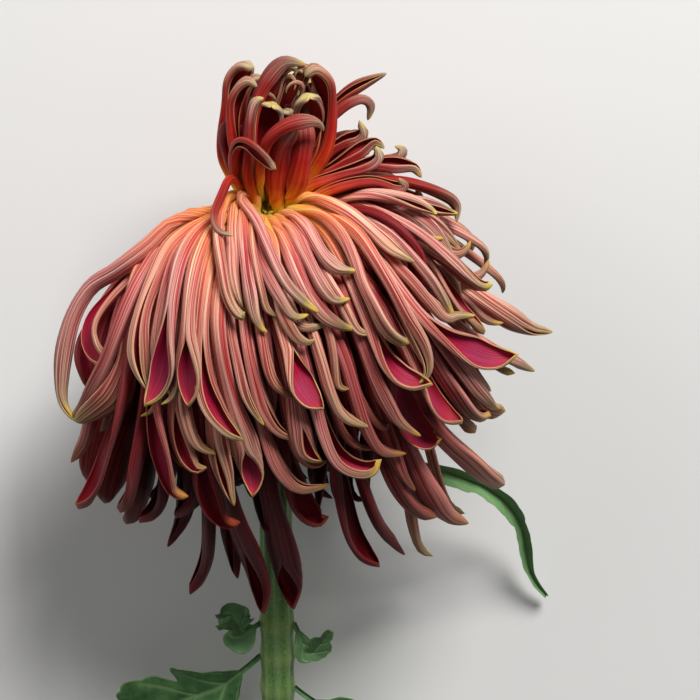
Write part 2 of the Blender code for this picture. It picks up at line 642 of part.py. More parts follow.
def make_stem(collection):
    """The ribbed stem, with a corner on each rib and in each furrow."""
    corner = np.arange(2 * STEM_RIBS) * math.pi / STEM_RIBS
    rib = 1.0 + STEM_RIB * np.cos(STEM_RIBS * corner)
    top = INVOLUCRE_BOTTOM - SEAT_GAP
    heights = [top, stem_foot()]
    for node in STEM_NODES:
        heights += [node - 1.7 * NODE_LENGTH, node - 0.5 * NODE_LENGTH]
        heights += [node + 0.5 * NODE_LENGTH, node + 1.7 * NODE_LENGTH]
    heights = np.sort(np.array(heights))[::-1]
    radius = stem_radius(heights)[:, None] * rib
    rings = np.stack([radius * np.cos(corner), radius * np.sin(corner),
                      heights[:, None] * np.ones_like(radius)], -1)
    colour = material_named("stem_green", (0.10, 0.22, 0.08), 0.5)
    object_named("stem", lofted_mesh("stem", laid_down(rings)), collection, colour)


def leaf_midrib(name, count):
    """A smooth line of points along a leaf's midrib, in the flower's frame."""
    node, side, seen = LEAVES[name][:3]
    height = STEM_NODES[node]
    skin = float(stem_radius(np.array(height))) * (1 + STEM_RIB) + LEAF_SEAT
    shown = np.array(seen)
    shown = seen_at(shown[:, 0], shown[:, 1], shown[:, 2])
    knots = np.concatenate([np.array([[side * skin, 0.0, height]]), shown])[None]
    spans = knots.shape[1] - 1
    first = 2 * knots[:, :1] - knots[:, 1:2]
    last = 2 * knots[:, -1:] - knots[:, -2:-1]
    knots = np.concatenate([first, knots, last], axis=1)[0]
    t = np.linspace(0, spans, 12 * spans + 1)
    k = np.minimum(t.astype(int), spans - 1)
    x = (t - k)[:, None]
    a, b, c, d = knots[k], knots[k + 1], knots[k + 2], knots[k + 3]
    curve = 0.5 * (2 * b + (c - a) * x + (2 * a - 5 * b + 4 * c - d) * x ** 2
                   + (3 * b - a - 3 * c + d) * x ** 3)
    return even_line(curve[None], count)[0]


def leaf_half_width(share, half_width, cut, lobes):
    """Half width along a leaf: a narrow stalk, a lens-shaped blade and forward lobes."""
    blade = np.clip((share - STALK_SHARE) / (1 - STALK_SHARE), 0.0, 1.0)
    lens = np.sin(math.pi * blade ** 0.75) ** 0.8
    phase = (blade * (lobes + 0.5)) % 1.0
    lobe = np.minimum(phase / LOBE_RISE, (1.0 - phase) / (1.0 - LOBE_RISE))
    return LEAF_STALK + half_width * lens * (1.0 - cut * (1.0 - lobe))


def make_leaf(name, collection, colour):
    """A lobed blade on its midrib, folded along it and gently waved."""
    half_width, cut, lobes, fold = LEAVES[name][3:]
    middle = leaf_midrib(name, LEAF_STATIONS)
    tangent = unit(np.gradient(middle, axis=0))
    front = np.array([0.0, 1.0, 0.15])
    upright = unit(front - tangent * (tangent * front).sum(-1)[:, None])
    side = np.cross(tangent, upright)
    share = np.linspace(0, 1, LEAF_STATIONS)
    half = leaf_half_width(share, half_width, cut, lobes)
    v = np.linspace(-1, 1, LEAF_COLUMNS + 1)
    out = v[None, :] * half[:, None] * math.cos(math.radians(fold))
    lift = np.abs(v[None, :]) * half[:, None] * math.sin(math.radians(fold))
    lift = lift + LEAF_WAVE * half_width * np.sin(9 * share)[:, None] * v[None, :] ** 2
    ahead = np.abs(v[None, :]) * half[:, None] * LOBE_LEAN
    points = (middle[:, None] + side[:, None] * out[..., None] + upright[:, None] * lift[..., None]
              + tangent[:, None] * ahead[..., None])
    shape = bmesh.new()
    grid = [[shape.verts.new(point * MM) for point in row] for row in laid_down(points)]
    for low, high in zip(grid, grid[1:]):
        for k in range(LEAF_COLUMNS):
            shape.faces.new((low[k], low[k + 1], high[k + 1]))
            shape.faces.new((low[k], high[k + 1], high[k]))
    mesh = bpy.data.meshes.new(name)
    shape.to_mesh(mesh)
    shape.free()
    leaf = object_named(name, mesh, collection, colour)
    wall = leaf.modifiers.new("wall", "SOLIDIFY")
    wall.thickness = LEAF_THICKNESS * MM
    wall.offset = 0.0


def main():
    """Clear the scene and build every piece."""
    for old in list(bpy.data.objects):
        bpy.data.objects.remove(old)
    collection = collection_named(OBJECT_NAME)
    make_bloom(collection)
    make_involucre(collection)
    make_stem(collection)
    leaf_green = material_named("leaf_green", (0.06, 0.17, 0.05), 0.55)
    for name in LEAVES:
        make_leaf(name, collection, leaf_green)


main()
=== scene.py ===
import math

import bmesh
import bpy
import numpy as np
from mathutils import Matrix


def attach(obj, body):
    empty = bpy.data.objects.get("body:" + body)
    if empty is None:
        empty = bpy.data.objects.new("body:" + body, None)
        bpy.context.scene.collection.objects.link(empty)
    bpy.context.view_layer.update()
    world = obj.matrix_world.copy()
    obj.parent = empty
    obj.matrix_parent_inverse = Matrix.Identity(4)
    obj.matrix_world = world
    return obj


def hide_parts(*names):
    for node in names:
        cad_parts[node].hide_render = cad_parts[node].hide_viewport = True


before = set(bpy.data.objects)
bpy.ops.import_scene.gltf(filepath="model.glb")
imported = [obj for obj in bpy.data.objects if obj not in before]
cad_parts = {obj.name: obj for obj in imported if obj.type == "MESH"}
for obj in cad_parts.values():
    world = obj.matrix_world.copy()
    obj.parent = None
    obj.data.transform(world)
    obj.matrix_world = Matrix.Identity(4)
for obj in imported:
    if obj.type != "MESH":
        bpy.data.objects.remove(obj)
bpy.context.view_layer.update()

# The flower is designed standing up, in millimetres: across (to the right), front (to the
# viewer) and up (along its axis). It lies on the floor with its front upwards.
flower = {
    "eye": (10.0, -90.5, 50.0),     # where the eye of the bloom lies in the part
    "tilt": 12.0,                   # how many degrees the stem falls to its cut end
    "viewElevation": 25.0,          # the viewer looks down on the standing flower by this
    "viewDistance": 750.0,
    "viewWidth": 175.0,             # seen from side to side at the eye
    "viewCentre": (19.5, -37.5),    # middle of the picture, right of the eye and above it
    "scale": 0.001,                 # metres in a millimetre
}

tilt = math.radians(flower["tilt"])
elevation = math.radians(flower["viewElevation"])
eye = np.array(flower["eye"])
across = np.array([-1.0, 0.0, 0.0])
up = np.array([0.0, -math.cos(tilt), math.sin(tilt)])
front = np.cross(across, up)
axisUp = np.array([0.0, 0.0, 1.0])              # along the axis of the standing flower
towardsViewer = np.array([0.0, math.cos(elevation), math.sin(elevation)])


def unit(vectors):
    # each vector divided by its length
    return vectors / np.linalg.norm(vectors, axis=-1, keepdims=True)


def laidDown(points):
    # eye + x across + y front + z up: from the standing flower to the part lying down
    return eye + points[..., :1] * across + points[..., 1:2] * front + points[..., 2:3] * up


def seenAt(right, above, ahead):
    # the point that shows there, right of the eye and above it, so far in front of the axis;
    # nearness = 1 - (distance towards the viewer) / (distance of the viewer)
    sine, cosine = math.sin(elevation), math.cos(elevation)
    x, z = right, above
    for _ in range(4):
        nearness = 1.0 - (ahead * cosine + z * sine) / flower["viewDistance"]
        x = right * nearness
        z = (above * nearness + ahead * sine) / cosine
    return np.stack([x, ahead, z], -1)


def smoothStep(low, high, value):
    # 0 below low, 1 above high, and 3t^2 - 2t^3 between them
    t = np.clip((value - low) / (high - low), 0.0, 1.0)
    return t * t * (3.0 - 2.0 * t)


def bell(value, middle, spread):
    # e to the minus square of the distance from the middle, in spreads
    return np.exp(-((value - middle) / spread) ** 2)


# Meshes from grids of points

def meshObject(name, points, faces, material, attributes):
    # points in millimetres of the part's frame, faces as rows of four corners, and one value
    # of each attribute for each point
    mesh = bpy.data.meshes.new(name)
    mesh.vertices.add(len(points))
    mesh.vertices.foreach_set("co", (points * flower["scale"]).astype(np.float32).ravel())
    corners = np.asarray(faces, np.int32)
    mesh.loops.add(corners.size)
    mesh.loops.foreach_set("vertex_index", corners.ravel())
    mesh.polygons.add(len(corners))
    mesh.polygons.foreach_set("loop_start", np.arange(len(corners), dtype=np.int32) * corners.shape[1])
    mesh.polygons.foreach_set("use_smooth", np.ones(len(corners), bool))
    for label, values in attributes.items():
        layer = mesh.attributes.new(label, "FLOAT", "POINT")
        layer.data.foreach_set("value", np.asarray(values, np.float32).ravel())
    mesh.update(calc_edges=True)
    mesh.materials.append(material)
    made = bpy.data.objects.new(name, mesh)
    bpy.context.scene.collection.objects.link(made)
    return made


def weld(made):
    # points in the same place made one, as at the pole of a cap
    shape = bmesh.new()
    shape.from_mesh(made.data)
    bmesh.ops.remove_doubles(shape, verts=shape.verts, dist=1e-7)
    shape.to_mesh(made.data)
    shape.free()
    return made


def ringFaces(rows, columns, copies):
    # quads between neighbouring rings of a tube, for so many copies of it, one after another
    row, column = np.meshgrid(np.arange(rows - 1), np.arange(columns), indexing="ij")
    here, there = row * columns + column, row * columns + (column + 1) % columns
    quads = np.stack([here, there, there + columns, here + columns], -1).reshape(-1, 4)
    return (quads[None] + np.arange(copies)[:, None, None] * rows * columns).reshape(-1, 4)


def endFaces(rows, half, copies):
    # quads that close both ends of a folded wall, whose ring runs out along one face and
    # back along the other: corner k of the first face meets corner k of the second
    k = np.arange(half - 1)
    first = np.stack([k, 2 * half - 1 - k, 2 * half - 2 - k, k + 1], -1)
    last = first[:, ::-1] + (rows - 1) * 2 * half
    quads = np.concatenate([first, last])
    return (quads[None] + np.arange(copies)[:, None, None] * rows * 2 * half).reshape(-1, 4)


def wallFaces(rows, half, copies):
    # the ring's quads and the end quads of so many folded walls
    return np.concatenate([ringFaces(rows, 2 * half, copies), endFaces(rows, half, copies)])


def finish(made, slotName, *nodes):
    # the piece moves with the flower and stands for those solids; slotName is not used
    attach(made, "root")
    if nodes:
        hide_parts(*nodes)
    return made


# Materials

def newMaterial(name, roughness, specular):
    made = bpy.data.materials.new(name)
    made.use_nodes = True
    shader = made.node_tree.nodes["Principled BSDF"]
    shader.inputs["Roughness"].default_value = roughness
    shader.inputs["Specular IOR Level"].default_value = specular
    return made, made.node_tree, shader


def addNode(tree, kind, inputs=None, **settings):
    made = tree.nodes.new(kind)
    for key, value in settings.items():
        setattr(made, key, value)
    for key, value in (inputs or {}).items():
        if isinstance(value, bpy.types.NodeSocket):
            tree.links.new(value, made.inputs[key])
        else:
            made.inputs[key].default_value = value
    return made


def valuesOf(tree, *names):
    # the values that meshObject gave to the points, by their names
    return [addNode(tree, "ShaderNodeAttribute", attribute_name=name).outputs["Fac"] for name in names]


def mathOf(tree, operation, first, second=0.0, third=0.0):
    made = addNode(tree, "ShaderNodeMath", {0: first, 1: second, 2: third}, operation=operation)
    return made.outputs[0]


def times(tree, first, second):
    return mathOf(tree, "MULTIPLY", first, second)


def rangeOf(tree, value, low, high, toLow=0.0, toHigh=1.0, kind="SMOOTHSTEP"):
    inputs = {"Value": value, "From Min": low, "From Max": high, "To Min": toLow, "To Max": toHigh}
    return addNode(tree, "ShaderNodeMapRange", inputs, interpolation_type=kind).outputs["Result"]


def rampOf(tree, value, stops):
    made = addNode(tree, "ShaderNodeValToRGB", {"Fac": value})
    elements = made.color_ramp.elements
    while len(elements) < len(stops):
        elements.new(0.5)
    for element, (place, colour) in zip(elements, stops):
        element.position = place
        element.color = (*colour, 1.0)
    return made.outputs["Color"]


def mixOf(tree, amount, first, second, blend="MIX"):
    made = addNode(tree, "ShaderNodeMix", data_type="RGBA", blend_type=blend)
    for place, value in ((0, amount), (6, first), (7, second)):
        if isinstance(value, bpy.types.NodeSocket):
            tree.links.new(value, made.inputs[place])
        else:
            made.inputs[place].default_value = value if place == 0 else (*value, 1.0)
    return made.outputs[2]


def noiseOf(tree, vector, scale, detail=3.0, roughness=0.55):
    inputs = {"Vector": vector, "Scale": scale, "Detail": detail, "Roughness": roughness}
    return addNode(tree, "ShaderNodeTexNoise", inputs).outputs["Fac"]


def placeOf(tree, x, y, z):
    return addNode(tree, "ShaderNodeCombineXYZ", {"X": x, "Y": y, "Z": z}).outputs["Vector"]


def paint(tree, shader, colour, height, bump):
    # the colour, and a bump of that height with its strength and its depth in metres
    strength, depth = bump
    inputs = {"Height": height, "Strength": strength, "Distance": depth}
    raised = addNode(tree, "ShaderNodeBump", inputs).outputs["Normal"]
    tree.links.new(raised, shader.inputs["Normal"])
    tree.links.new(colour, shader.inputs["Base Color"])


def letLightIn(shader, amount, reach, depth):
    # light that comes out again nearby: how much, how far each colour goes, and metres of it
    shader.inputs["Subsurface Weight"].default_value = amount
    shader.inputs["Subsurface Radius"].default_value = reach
    shader.inputs["Subsurface Scale"].default_value = depth


petalLook = {
    "roughness": 0.50, "specular": 0.17, "sheen": 0.03,
    "glow": (0.10, (1.0, 0.35, 0.25), 0.0012),
    "bump": (0.6, 0.0003),
    "stripes": 14.0,                # stripes on each half of a floret
    "hairs": 2.6,                   # fine lines in each of them
    "stretch": (1.6, 3.0),          # changes in a stripe and in a fine line, from root to tip
    "shift": 0.06,                  # how far a floret's colours move along it
    # grooves lean to the deep stripes: partly the petal's own lines, partly painted shade in them
    "hairShare": 0.8, "grooveShare": 0.14,      # of fine lines and grooves in the stripes
    "stripeEdge": (0.70, 1.18),     # values where a deep stripe starts and where it is full
    # painted shade darkens by this power of its amount
    "paintedShadePower": 1.5, "tintSpread": 57.0,
    # where the bowl's floor is paler: from one value to the other, and how much at each
    "floorGape": (0.40, 0.75), "floorAlong": (0.6, 0.9), "floorAside": (0.1, 0.7, 0.7, 0.0),
    "floorFresh": (-0.85, 1.0), "bowlLines": (0.35, 0.65, 0.75, 1.25),
    # and where the rim is
    "rimAside": (0.94, 0.99), "rimGape": (0.02, 0.15), "rimAlong": (0.3, 0.95, 0.15, 0.8),
    # colours along a floret, from its root to its tip: pale stripes, deep stripes, inside
    "pale": ((0.0, (0.60, 0.66, 0.06)), (0.07, (0.84, 0.68, 0.12)), (0.15, (0.92, 0.54, 0.15)),
             (0.26, (0.88, 0.47, 0.22)), (0.48, (0.85, 0.54, 0.42)), (0.72, (0.78, 0.46, 0.36)),
             (0.88, (0.72, 0.48, 0.33)), (0.955, (0.58, 0.46, 0.24)), (1.0, (0.84, 0.70, 0.14))),
    "deep": ((0.0, (0.30, 0.40, 0.01)), (0.07, (0.66, 0.44, 0.02)), (0.15, (0.74, 0.22, 0.015)),
             (0.26, (0.52, 0.055, 0.02)), (0.48, (0.40, 0.030, 0.034)), (0.72, (0.26, 0.012, 0.016)),
             (0.88, (0.16, 0.035, 0.025)), (0.955, (0.16, 0.11, 0.04)), (1.0, (0.52, 0.38, 0.05))),
    "inside": ((0.0, (0.74, 0.30, 0.02)), (0.15, (0.58, 0.08, 0.01)), (0.35, (0.42, 0.008, 0.012)),
               (0.60, (0.33, 0.003, 0.022)), (0.80, (0.32, 0.003, 0.040)), (1.0, (0.40, 0.03, 0.06))),
    # the same for the upright florets at the eye
    "freshPale": ((0.0, (0.66, 0.74, 0.05)), (0.13, (0.84, 0.68, 0.05)), (0.23, (0.84, 0.34, 0.02)),
                  (0.36, (0.60, 0.08, 0.008)), (0.54, (0.38, 0.020, 0.010)), (0.76, (0.38, 0.060, 0.042)),
                  (0.92, (0.52, 0.34, 0.24)), (0.97, (0.62, 0.54, 0.36)), (1.0, (0.74, 0.66, 0.28))),
    "freshDeep": ((0.0, (0.40, 0.50, 0.01)), (0.13, (0.70, 0.44, 0.01)), (0.23, (0.70, 0.14, 0.004)),
                  (0.36, (0.36, 0.010, 0.002)), (0.54, (0.25, 0.001, 0.002)), (0.76, (0.18, 0.002, 0.005)),
                  (0.92, (0.15, 0.05, 0.04)), (0.97, (0.24, 0.18, 0.08)), (1.0, (0.50, 0.40, 0.08))),
    "freshInside": ((0.0, (0.66, 0.26, 0.01)), (0.30, (0.44, 0.03, 0.005)), (0.60, (0.26, 0.003, 0.006)),
                    (1.0, (0.32, 0.02, 0.03))),
    "rim": (0.66, 0.42, 0.20),
    "floor": (0.34, 0.045, 0.12),   # the floor of a wide open spoon
    # what the colour is multiplied by for the painted shade of a floret wholly in shadow, the warmest and
    # the coolest
    "paintedShade": (0.15, 0.005, 0.014), "warm": (1.0, 0.93, 0.80), "cool": (0.90, 0.78, 0.84),
}


def petalMaterial():
    look = petalLook
    made, tree, shader = newMaterial("petal", look["roughness"], look["specular"])
    along, aside, tint, inside, paintedShade, gape, fresh, groove = valuesOf(
        tree, "along", "aside", "tint", "inside", "paintedShade", "gape", "fresh", "groove")
    outward = mathOf(tree, "ABSOLUTE", aside)

    # stripes and fine lines that run along the floret, with other ones on each
    seed = times(tree, tint, look["tintSpread"])
    broad = placeOf(tree, times(tree, aside, look["stripes"]), times(tree, along, look["stretch"][0]), seed)
    fine = times(tree, aside, look["hairs"] * look["stripes"])
    narrow = placeOf(tree, fine, times(tree, along, look["stretch"][1]), seed)
    stripe = noiseOf(tree, broad, 1.0, 3.0, 0.5)
    hair = noiseOf(tree, narrow, 1.0, 2.0, 0.5)
    lined = mathOf(tree, "MULTIPLY_ADD", hair, look["hairShare"], stripe)
    # darker in the grooves: partly the petal's own lines, partly painted shade
    lined = mathOf(tree, "MULTIPLY_ADD", groove, look["grooveShare"], lined)
    amount = rangeOf(tree, lined, *look["stripeEdge"])

    # pale and deep stripes outside, and the bowl inside, whose floor is paler in an open spoon
    shifted = mathOf(tree, "MULTIPLY_ADD", tint, look["shift"], -look["shift"] / 2)
    shifted = mathOf(tree, "ADD", along, shifted)
    coats = []
    for place, usual, upright in ((shifted, "pale", "freshPale"), (shifted, "deep", "freshDeep"),
                                  (along, "inside", "freshInside")):
        ramps = [rampOf(tree, place, look[key]) for key in (usual, upright)]
        coats.append(mixOf(tree, fresh, *ramps))
    pale, deep, bowl = coats
    outside = mixOf(tree, amount, pale, deep)
    floor = rangeOf(tree, gape, *look["floorGape"])
    floor = times(tree, floor, rangeOf(tree, outward, *look["floorAside"]))
    floor = times(tree, floor, rangeOf(tree, along, *look["floorAlong"]))
    floor = times(tree, floor, mathOf(tree, "MULTIPLY_ADD", fresh, *look["floorFresh"]))
    bowl = mixOf(tree, floor, bowl, look["floor"])
    lines = rangeOf(tree, hair, *look["bowlLines"])
    bowl = mixOf(tree, 1.0, bowl, placeOf(tree, lines, lines, lines), "MULTIPLY")
    colour = mixOf(tree, inside, outside, bowl)

    # a pale rim where the slot is open, the floret's own tint, and painted shade deep in the bloom
    rim = rangeOf(tree, outward, *look["rimAside"])
    rim = times(tree, rim, rangeOf(tree, gape, *look["rimGape"]))
    rim = times(tree, rim, rangeOf(tree, along, *look["rimAlong"]))
    colour = mixOf(tree, rim, colour, look["rim"])
    colour = mixOf(tree, 1.0, colour, mixOf(tree, tint, look["warm"], look["cool"]), "MULTIPLY")
    # painted shade: the colour times the dark colour to the power of the amount of shadow painted on
    paintedShade = mathOf(tree, "POWER", paintedShade, look["paintedShadePower"])
    shade = placeOf(tree, *[mathOf(tree, "POWER", part, paintedShade) for part in look["paintedShade"]])
    colour = mixOf(tree, 1.0, colour, shade, "MULTIPLY")
    letLightIn(shader, *look["glow"])
    shader.inputs["Sheen Weight"].default_value = look["sheen"]
    paint(tree, shader, colour, mathOf(tree, "ADD", stripe, hair), look["bump"])
    return made


# Florets whose tips are given. Each tip is where it shows, in millimetres to the right of the
# eye and above it, how far it is in front of the axis, how far round the flower the root is
# turned from the tip, which way the tip hooks (0 outwards, 90 to the right of a hanging
# floret), how much it hooks, and how much wider its spoon is than its quill.
# Each row also has its painted shade: how much darker its florets are painted, for their shadow.
handRows = {
    "right": {"rootAngle": 66, "sag": 0.35, "arch": 0.9, "paintedShade": 0.05, "tips": (
        (47.0, -4.0, 6.0, -8, -60, 50, 0.4), (42.0, -4.5, 12.0, -6, -80, 50, 0.2),
        (54.5, -23.5, 16.0, 6, 40, 40, 0.8), (58.0, -31.0, 8.0, 6, 60, 50, 0.4),
        (60.5, -43.5, 10.0, 8, 50, 40, 1.0), (56.5, -54.0, 6.0, 2, 50, 60, 0.6),
        (49.5, -12.0, -18.0, -8, 150, 60, 0.5), (53.5, -15.0, -14.0, -6, 150, 60, 0.5),
        (58.0, -22.0, -20.0, -6, 140, 40, 0.4),
        (46.0, -78.0, -2.0, -2, 30, 40, 0.8), (38.0, -88.0, -6.0, -2, 30, 40, 0.7))},
}
# The upright florets' own ways. Each has how far its slot is turned clockwise from the
# viewer, how much wider its spoon is, its size, and the places where it shows, in
# millimetres to the right of the eye, above it and in front of the axis.
routeRows = {
    "tuft": {"paintedShade": 0.0, "routes": (
        (35, 0.9, 1.15, ((-4.3, -3.4, -1.0), (-6.8, 4.0, -2.5), (-8.2, 12.0, -5.0), (-8.6, 20.0, -6.0),
            (-7.8, 27.0, -6.0), (-6.0, 31.6, -5.5), (-3.3, 33.2, -4.5))),
        (60, 0.5, 1.0, ((-4.3, -4.2, 1.0), (-6.0, 4.0, 1.0), (-6.8, 12.0, 0.5), (-6.8, 19.0, 0.0),
            (-5.6, 25.0, 0.0), (-3.4, 28.6, 0.5), (-0.8, 28.4, 1.0))),
        (60, 0.4, 0.9, ((-3.6, -2.6, -2.8), (-4.6, 6.0, -3.2), (-5.6, 16.0, -4.0), (-5.0, 25.0, -4.0),
            (-3.4, 30.0, -3.5), (-1.0, 31.0, -3.0))),
        (70, 0.3, 0.9, ((-4.0, -4.9, 2.5), (-4.9, 3.6, 3.0), (-5.0, 11.0, 2.5), (-4.6, 18.0, 2.0),
            (-3.4, 23.5, 2.0), (-1.6, 25.4, 2.5))),
        (150, 0.3, 0.95, ((-2.4, -2.2, -3.8), (-3.4, 6.0, -1.5), (-3.8, 14.0, 0.0), (-2.6, 22.0, -0.5),
            (-0.2, 28.6, -1.0), (3.6, 32.9, -1.0), (8.8, 32.8, 0.0))),
        (140, 0.4, 0.95, ((-0.6, -1.8, -4.7), (-1.0, 8.0, -4.0), (-0.8, 18.0, -3.0), (1.2, 27.0, -3.5),
            (4.8, 32.0, -3.0), (8.6, 31.2, -2.0))),
        (-50, 0.6, 1.2, ((4.6, -3.2, -1.5), (6.2, 6.0, -1.0), (8.6, 13.0, -0.5), (10.0, 21.0, -1.0),
            (10.4, 27.6, -1.0), (9.0, 30.8, -0.5), (6.8, 29.6, 0.5))),
        (120, 0.2, 1.1, ((3.4, -2.4, -3.6), (5.6, 9.0, -4.0), (8.2, 19.0, -5.0), (10.2, 26.4, -5.5),
            (12.6, 28.8, -5.0), (14.8, 27.4, -4.5))),
        (130, 0.3, 0.9, ((1.0, -1.8, -4.9), (1.8, 12.0, -5.0), (4.0, 23.0, -5.5), (7.0, 30.4, -5.5),
            (10.4, 32.2, -5.0), (12.0, 30.4, -4.5))),
        (10, 1.2, 1.15, ((2.2, -2.0, -4.4), (3.2, 7.0, -3.0), (4.2, 14.0, -2.5), (5.2, 19.6, -2.0),
            (6.2, 23.4, -1.0))),
        (-10, 1.2, 1.15, ((0.2, -1.9, -4.6), (0.0, 8.0, -3.0), (0.4, 15.0, -2.5), (1.4, 20.2, -2.0),
            (2.2, 23.8, -1.0))),
        (30, 0.9, 1.3, ((4.2, -2.8, -2.6), (5.4, 8.0, -1.5), (7.4, 15.0, -1.0), (8.4, 21.0, -0.5),
            (8.2, 25.6, 0.5))),
        (180, 0.3, 1.4, ((2.4, -5.2, 2.2), (2.6, 3.0, 1.5), (3.2, 10.0, 0.5), (4.6, 15.6, 0.0),
            (7.2, 19.6, 0.0), (9.4, 20.4, 0.5))),
        (170, 0.2, 1.2, ((3.8, -5.0, 1.8), (4.6, 3.0, 1.2), (5.8, 10.0, 0.5), (7.4, 17.0, 0.0),
            (9.0, 23.6, -0.5))),
        (0, 1.4, 1.3, ((1.6, -1.8, -4.8), (3.4, 9.0, -6.0), (6.0, 18.0, -7.0), (8.2, 25.0, -7.0),
            (9.4, 30.0, -6.5))),
        (0, 1.4, 1.3, ((0.0, -1.8, -4.9), (0.0, 9.0, -6.5), (1.6, 19.0, -7.5), (4.2, 27.0, -7.0),
            (6.2, 31.0, -6.5))))},
    "rayed": {"paintedShade": 0.0, "routes": (
        (-20, 0.3, 0.95, ((4.2, -2.4, -2.8), (5.0, 9.0, -5.0), (8.8, 17.4, -6.5), (14.0, 23.0, -7.5),
            (21.0, 27.6, -8.5), (28.8, 31.5, -9.5))),
        (110, 0.2, 0.95, ((4.6, -3.0, -1.6), (5.5, 9.0, -3.0), (10.0, 18.2, -5.0), (16.0, 23.2, -6.0),
            (21.6, 25.4, -7.0), (24.6, 23.8, -7.5), (25.0, 20.2, -8.0))),
        (120, 0.3, 1.0, ((3.4, -2.2, -4.0), (6.0, 8.0, -8.0), (11.0, 14.0, -10.0), (17.5, 16.0, -11.0),
            (23.0, 14.8, -11.0), (26.5, 13.6, -10.0))),
        (-60, 0.6, 1.15, ((4.8, -3.0, -1.4), (7.0, 4.5, -4.0), (12.0, 10.5, -6.0), (18.0, 14.2, -7.0),
            (22.6, 15.8, -7.0), (24.4, 18.8, -7.0))),
        (-60, 0.5, 1.15, ((5.0, -3.6, 0.0), (8.5, 4.5, -1.0), (15.0, 9.2, -3.0), (21.5, 12.2, -4.0),
            (25.8, 13.6, -4.0), (27.4, 11.8, -3.0))),
        (-75, 0.5, 1.15, ((5.0, -4.2, 1.4), (9.0, 2.5, 2.0), (16.0, 5.8, 0.5), (22.5, 8.4, -1.0),
            (26.4, 10.6, -2.0), (27.2, 13.6, -2.0))),
        (-90, 0.3, 1.0, ((4.4, -2.8, -2.6), (12.0, 4.6, -6.0), (21.0, 8.0, -9.0), (28.0, 9.8, -10.0),
            (31.8, 10.8, -10.0), (32.8, 12.8, -10.0), (31.0, 14.0, -10.0))),
        (-60, 0.5, 1.2, ((5.0, -3.4, -0.8), (13.0, 3.2, -4.0), (23.0, 6.6, -6.0), (30.0, 7.8, -7.0),
            (34.8, 7.2, -7.0), (36.0, 4.8, -6.5))),
        (-80, 0.5, 1.1, ((4.6, -4.6, 2.4), (13.0, 1.4, 3.0), (23.0, 3.0, 1.0), (29.6, 1.8, 0.0),
            (32.8, 2.2, 0.0), (33.0, 5.0, 0.0))),
        (-60, 0.4, 1.1, ((5.0, -3.8, 0.4), (15.0, 2.0, 0.0), (26.0, 2.0, -3.0), (33.0, 0.4, -5.0),
            (36.6, 0.4, -6.0), (37.2, 3.0, -6.0))),
        (60, 0.6, 1.1, ((5.0, -3.4, 0.0), (13.0, 2.6, -1.0), (24.5, 3.4, -4.0), (33.2, 3.4, -5.0),
            (40.8, 1.8, -6.0), (45.8, -0.6, -7.0), (47.2, -4.0, -7.5))),
        (60, 0.5, 1.1, ((5.0, -4.2, 1.6), (18.2, 2.0, 1.0), (28.0, 1.4, -2.0), (35.0, -0.8, -3.0),
            (39.0, -4.0, -3.5), (40.2, -7.6, -3.5), (38.0, -9.8, -3.0))),
        (-20, 0.3, 1.0, ((3.8, -2.6, -3.4), (8.0, 6.0, -6.0), (13.0, 11.6, -8.0), (18.5, 12.4, -9.0),
            (24.0, 11.6, -9.5))))},
    "folded": {"paintedShade": 0.0, "routes": (
        (125, 0.3, 0.95, ((-2.5, 0.5, 2.0), (-3.3, 4.0, 5.0), (-2.8, 9.0, 7.5), (-0.5, 14.0, 9.0),
            (4.0, 17.4, 9.5), (9.0, 18.6, 9.0), (12.5, 18.2, 8.5), (14.6, 17.2, 8.0))),
        (-45, 0.8, 0.85, ((-4.3, -3.6, -0.5), (-6.2, 4.0, 1.0), (-7.2, 10.0, 3.5), (-6.6, 13.6, 6.5),
            (-4.6, 13.4, 9.5), (-2.0, 10.8, 11.5), (0.2, 8.6, 12.5), (2.0, 7.4, 13.0))),
        (-110, 0.1, 0.66, ((-4.3, -4.4, 2.0), (-6.8, 2.6, 4.5), (-10.0, 5.2, 8.5), (-12.2, 0.5, 13.0),
            (-13.7, -4.5, 17.5), (-13.4, -7.8, 20.5), (-11.8, -9.3, 22.0), (-9.2, -9.2, 23.0))))},
}
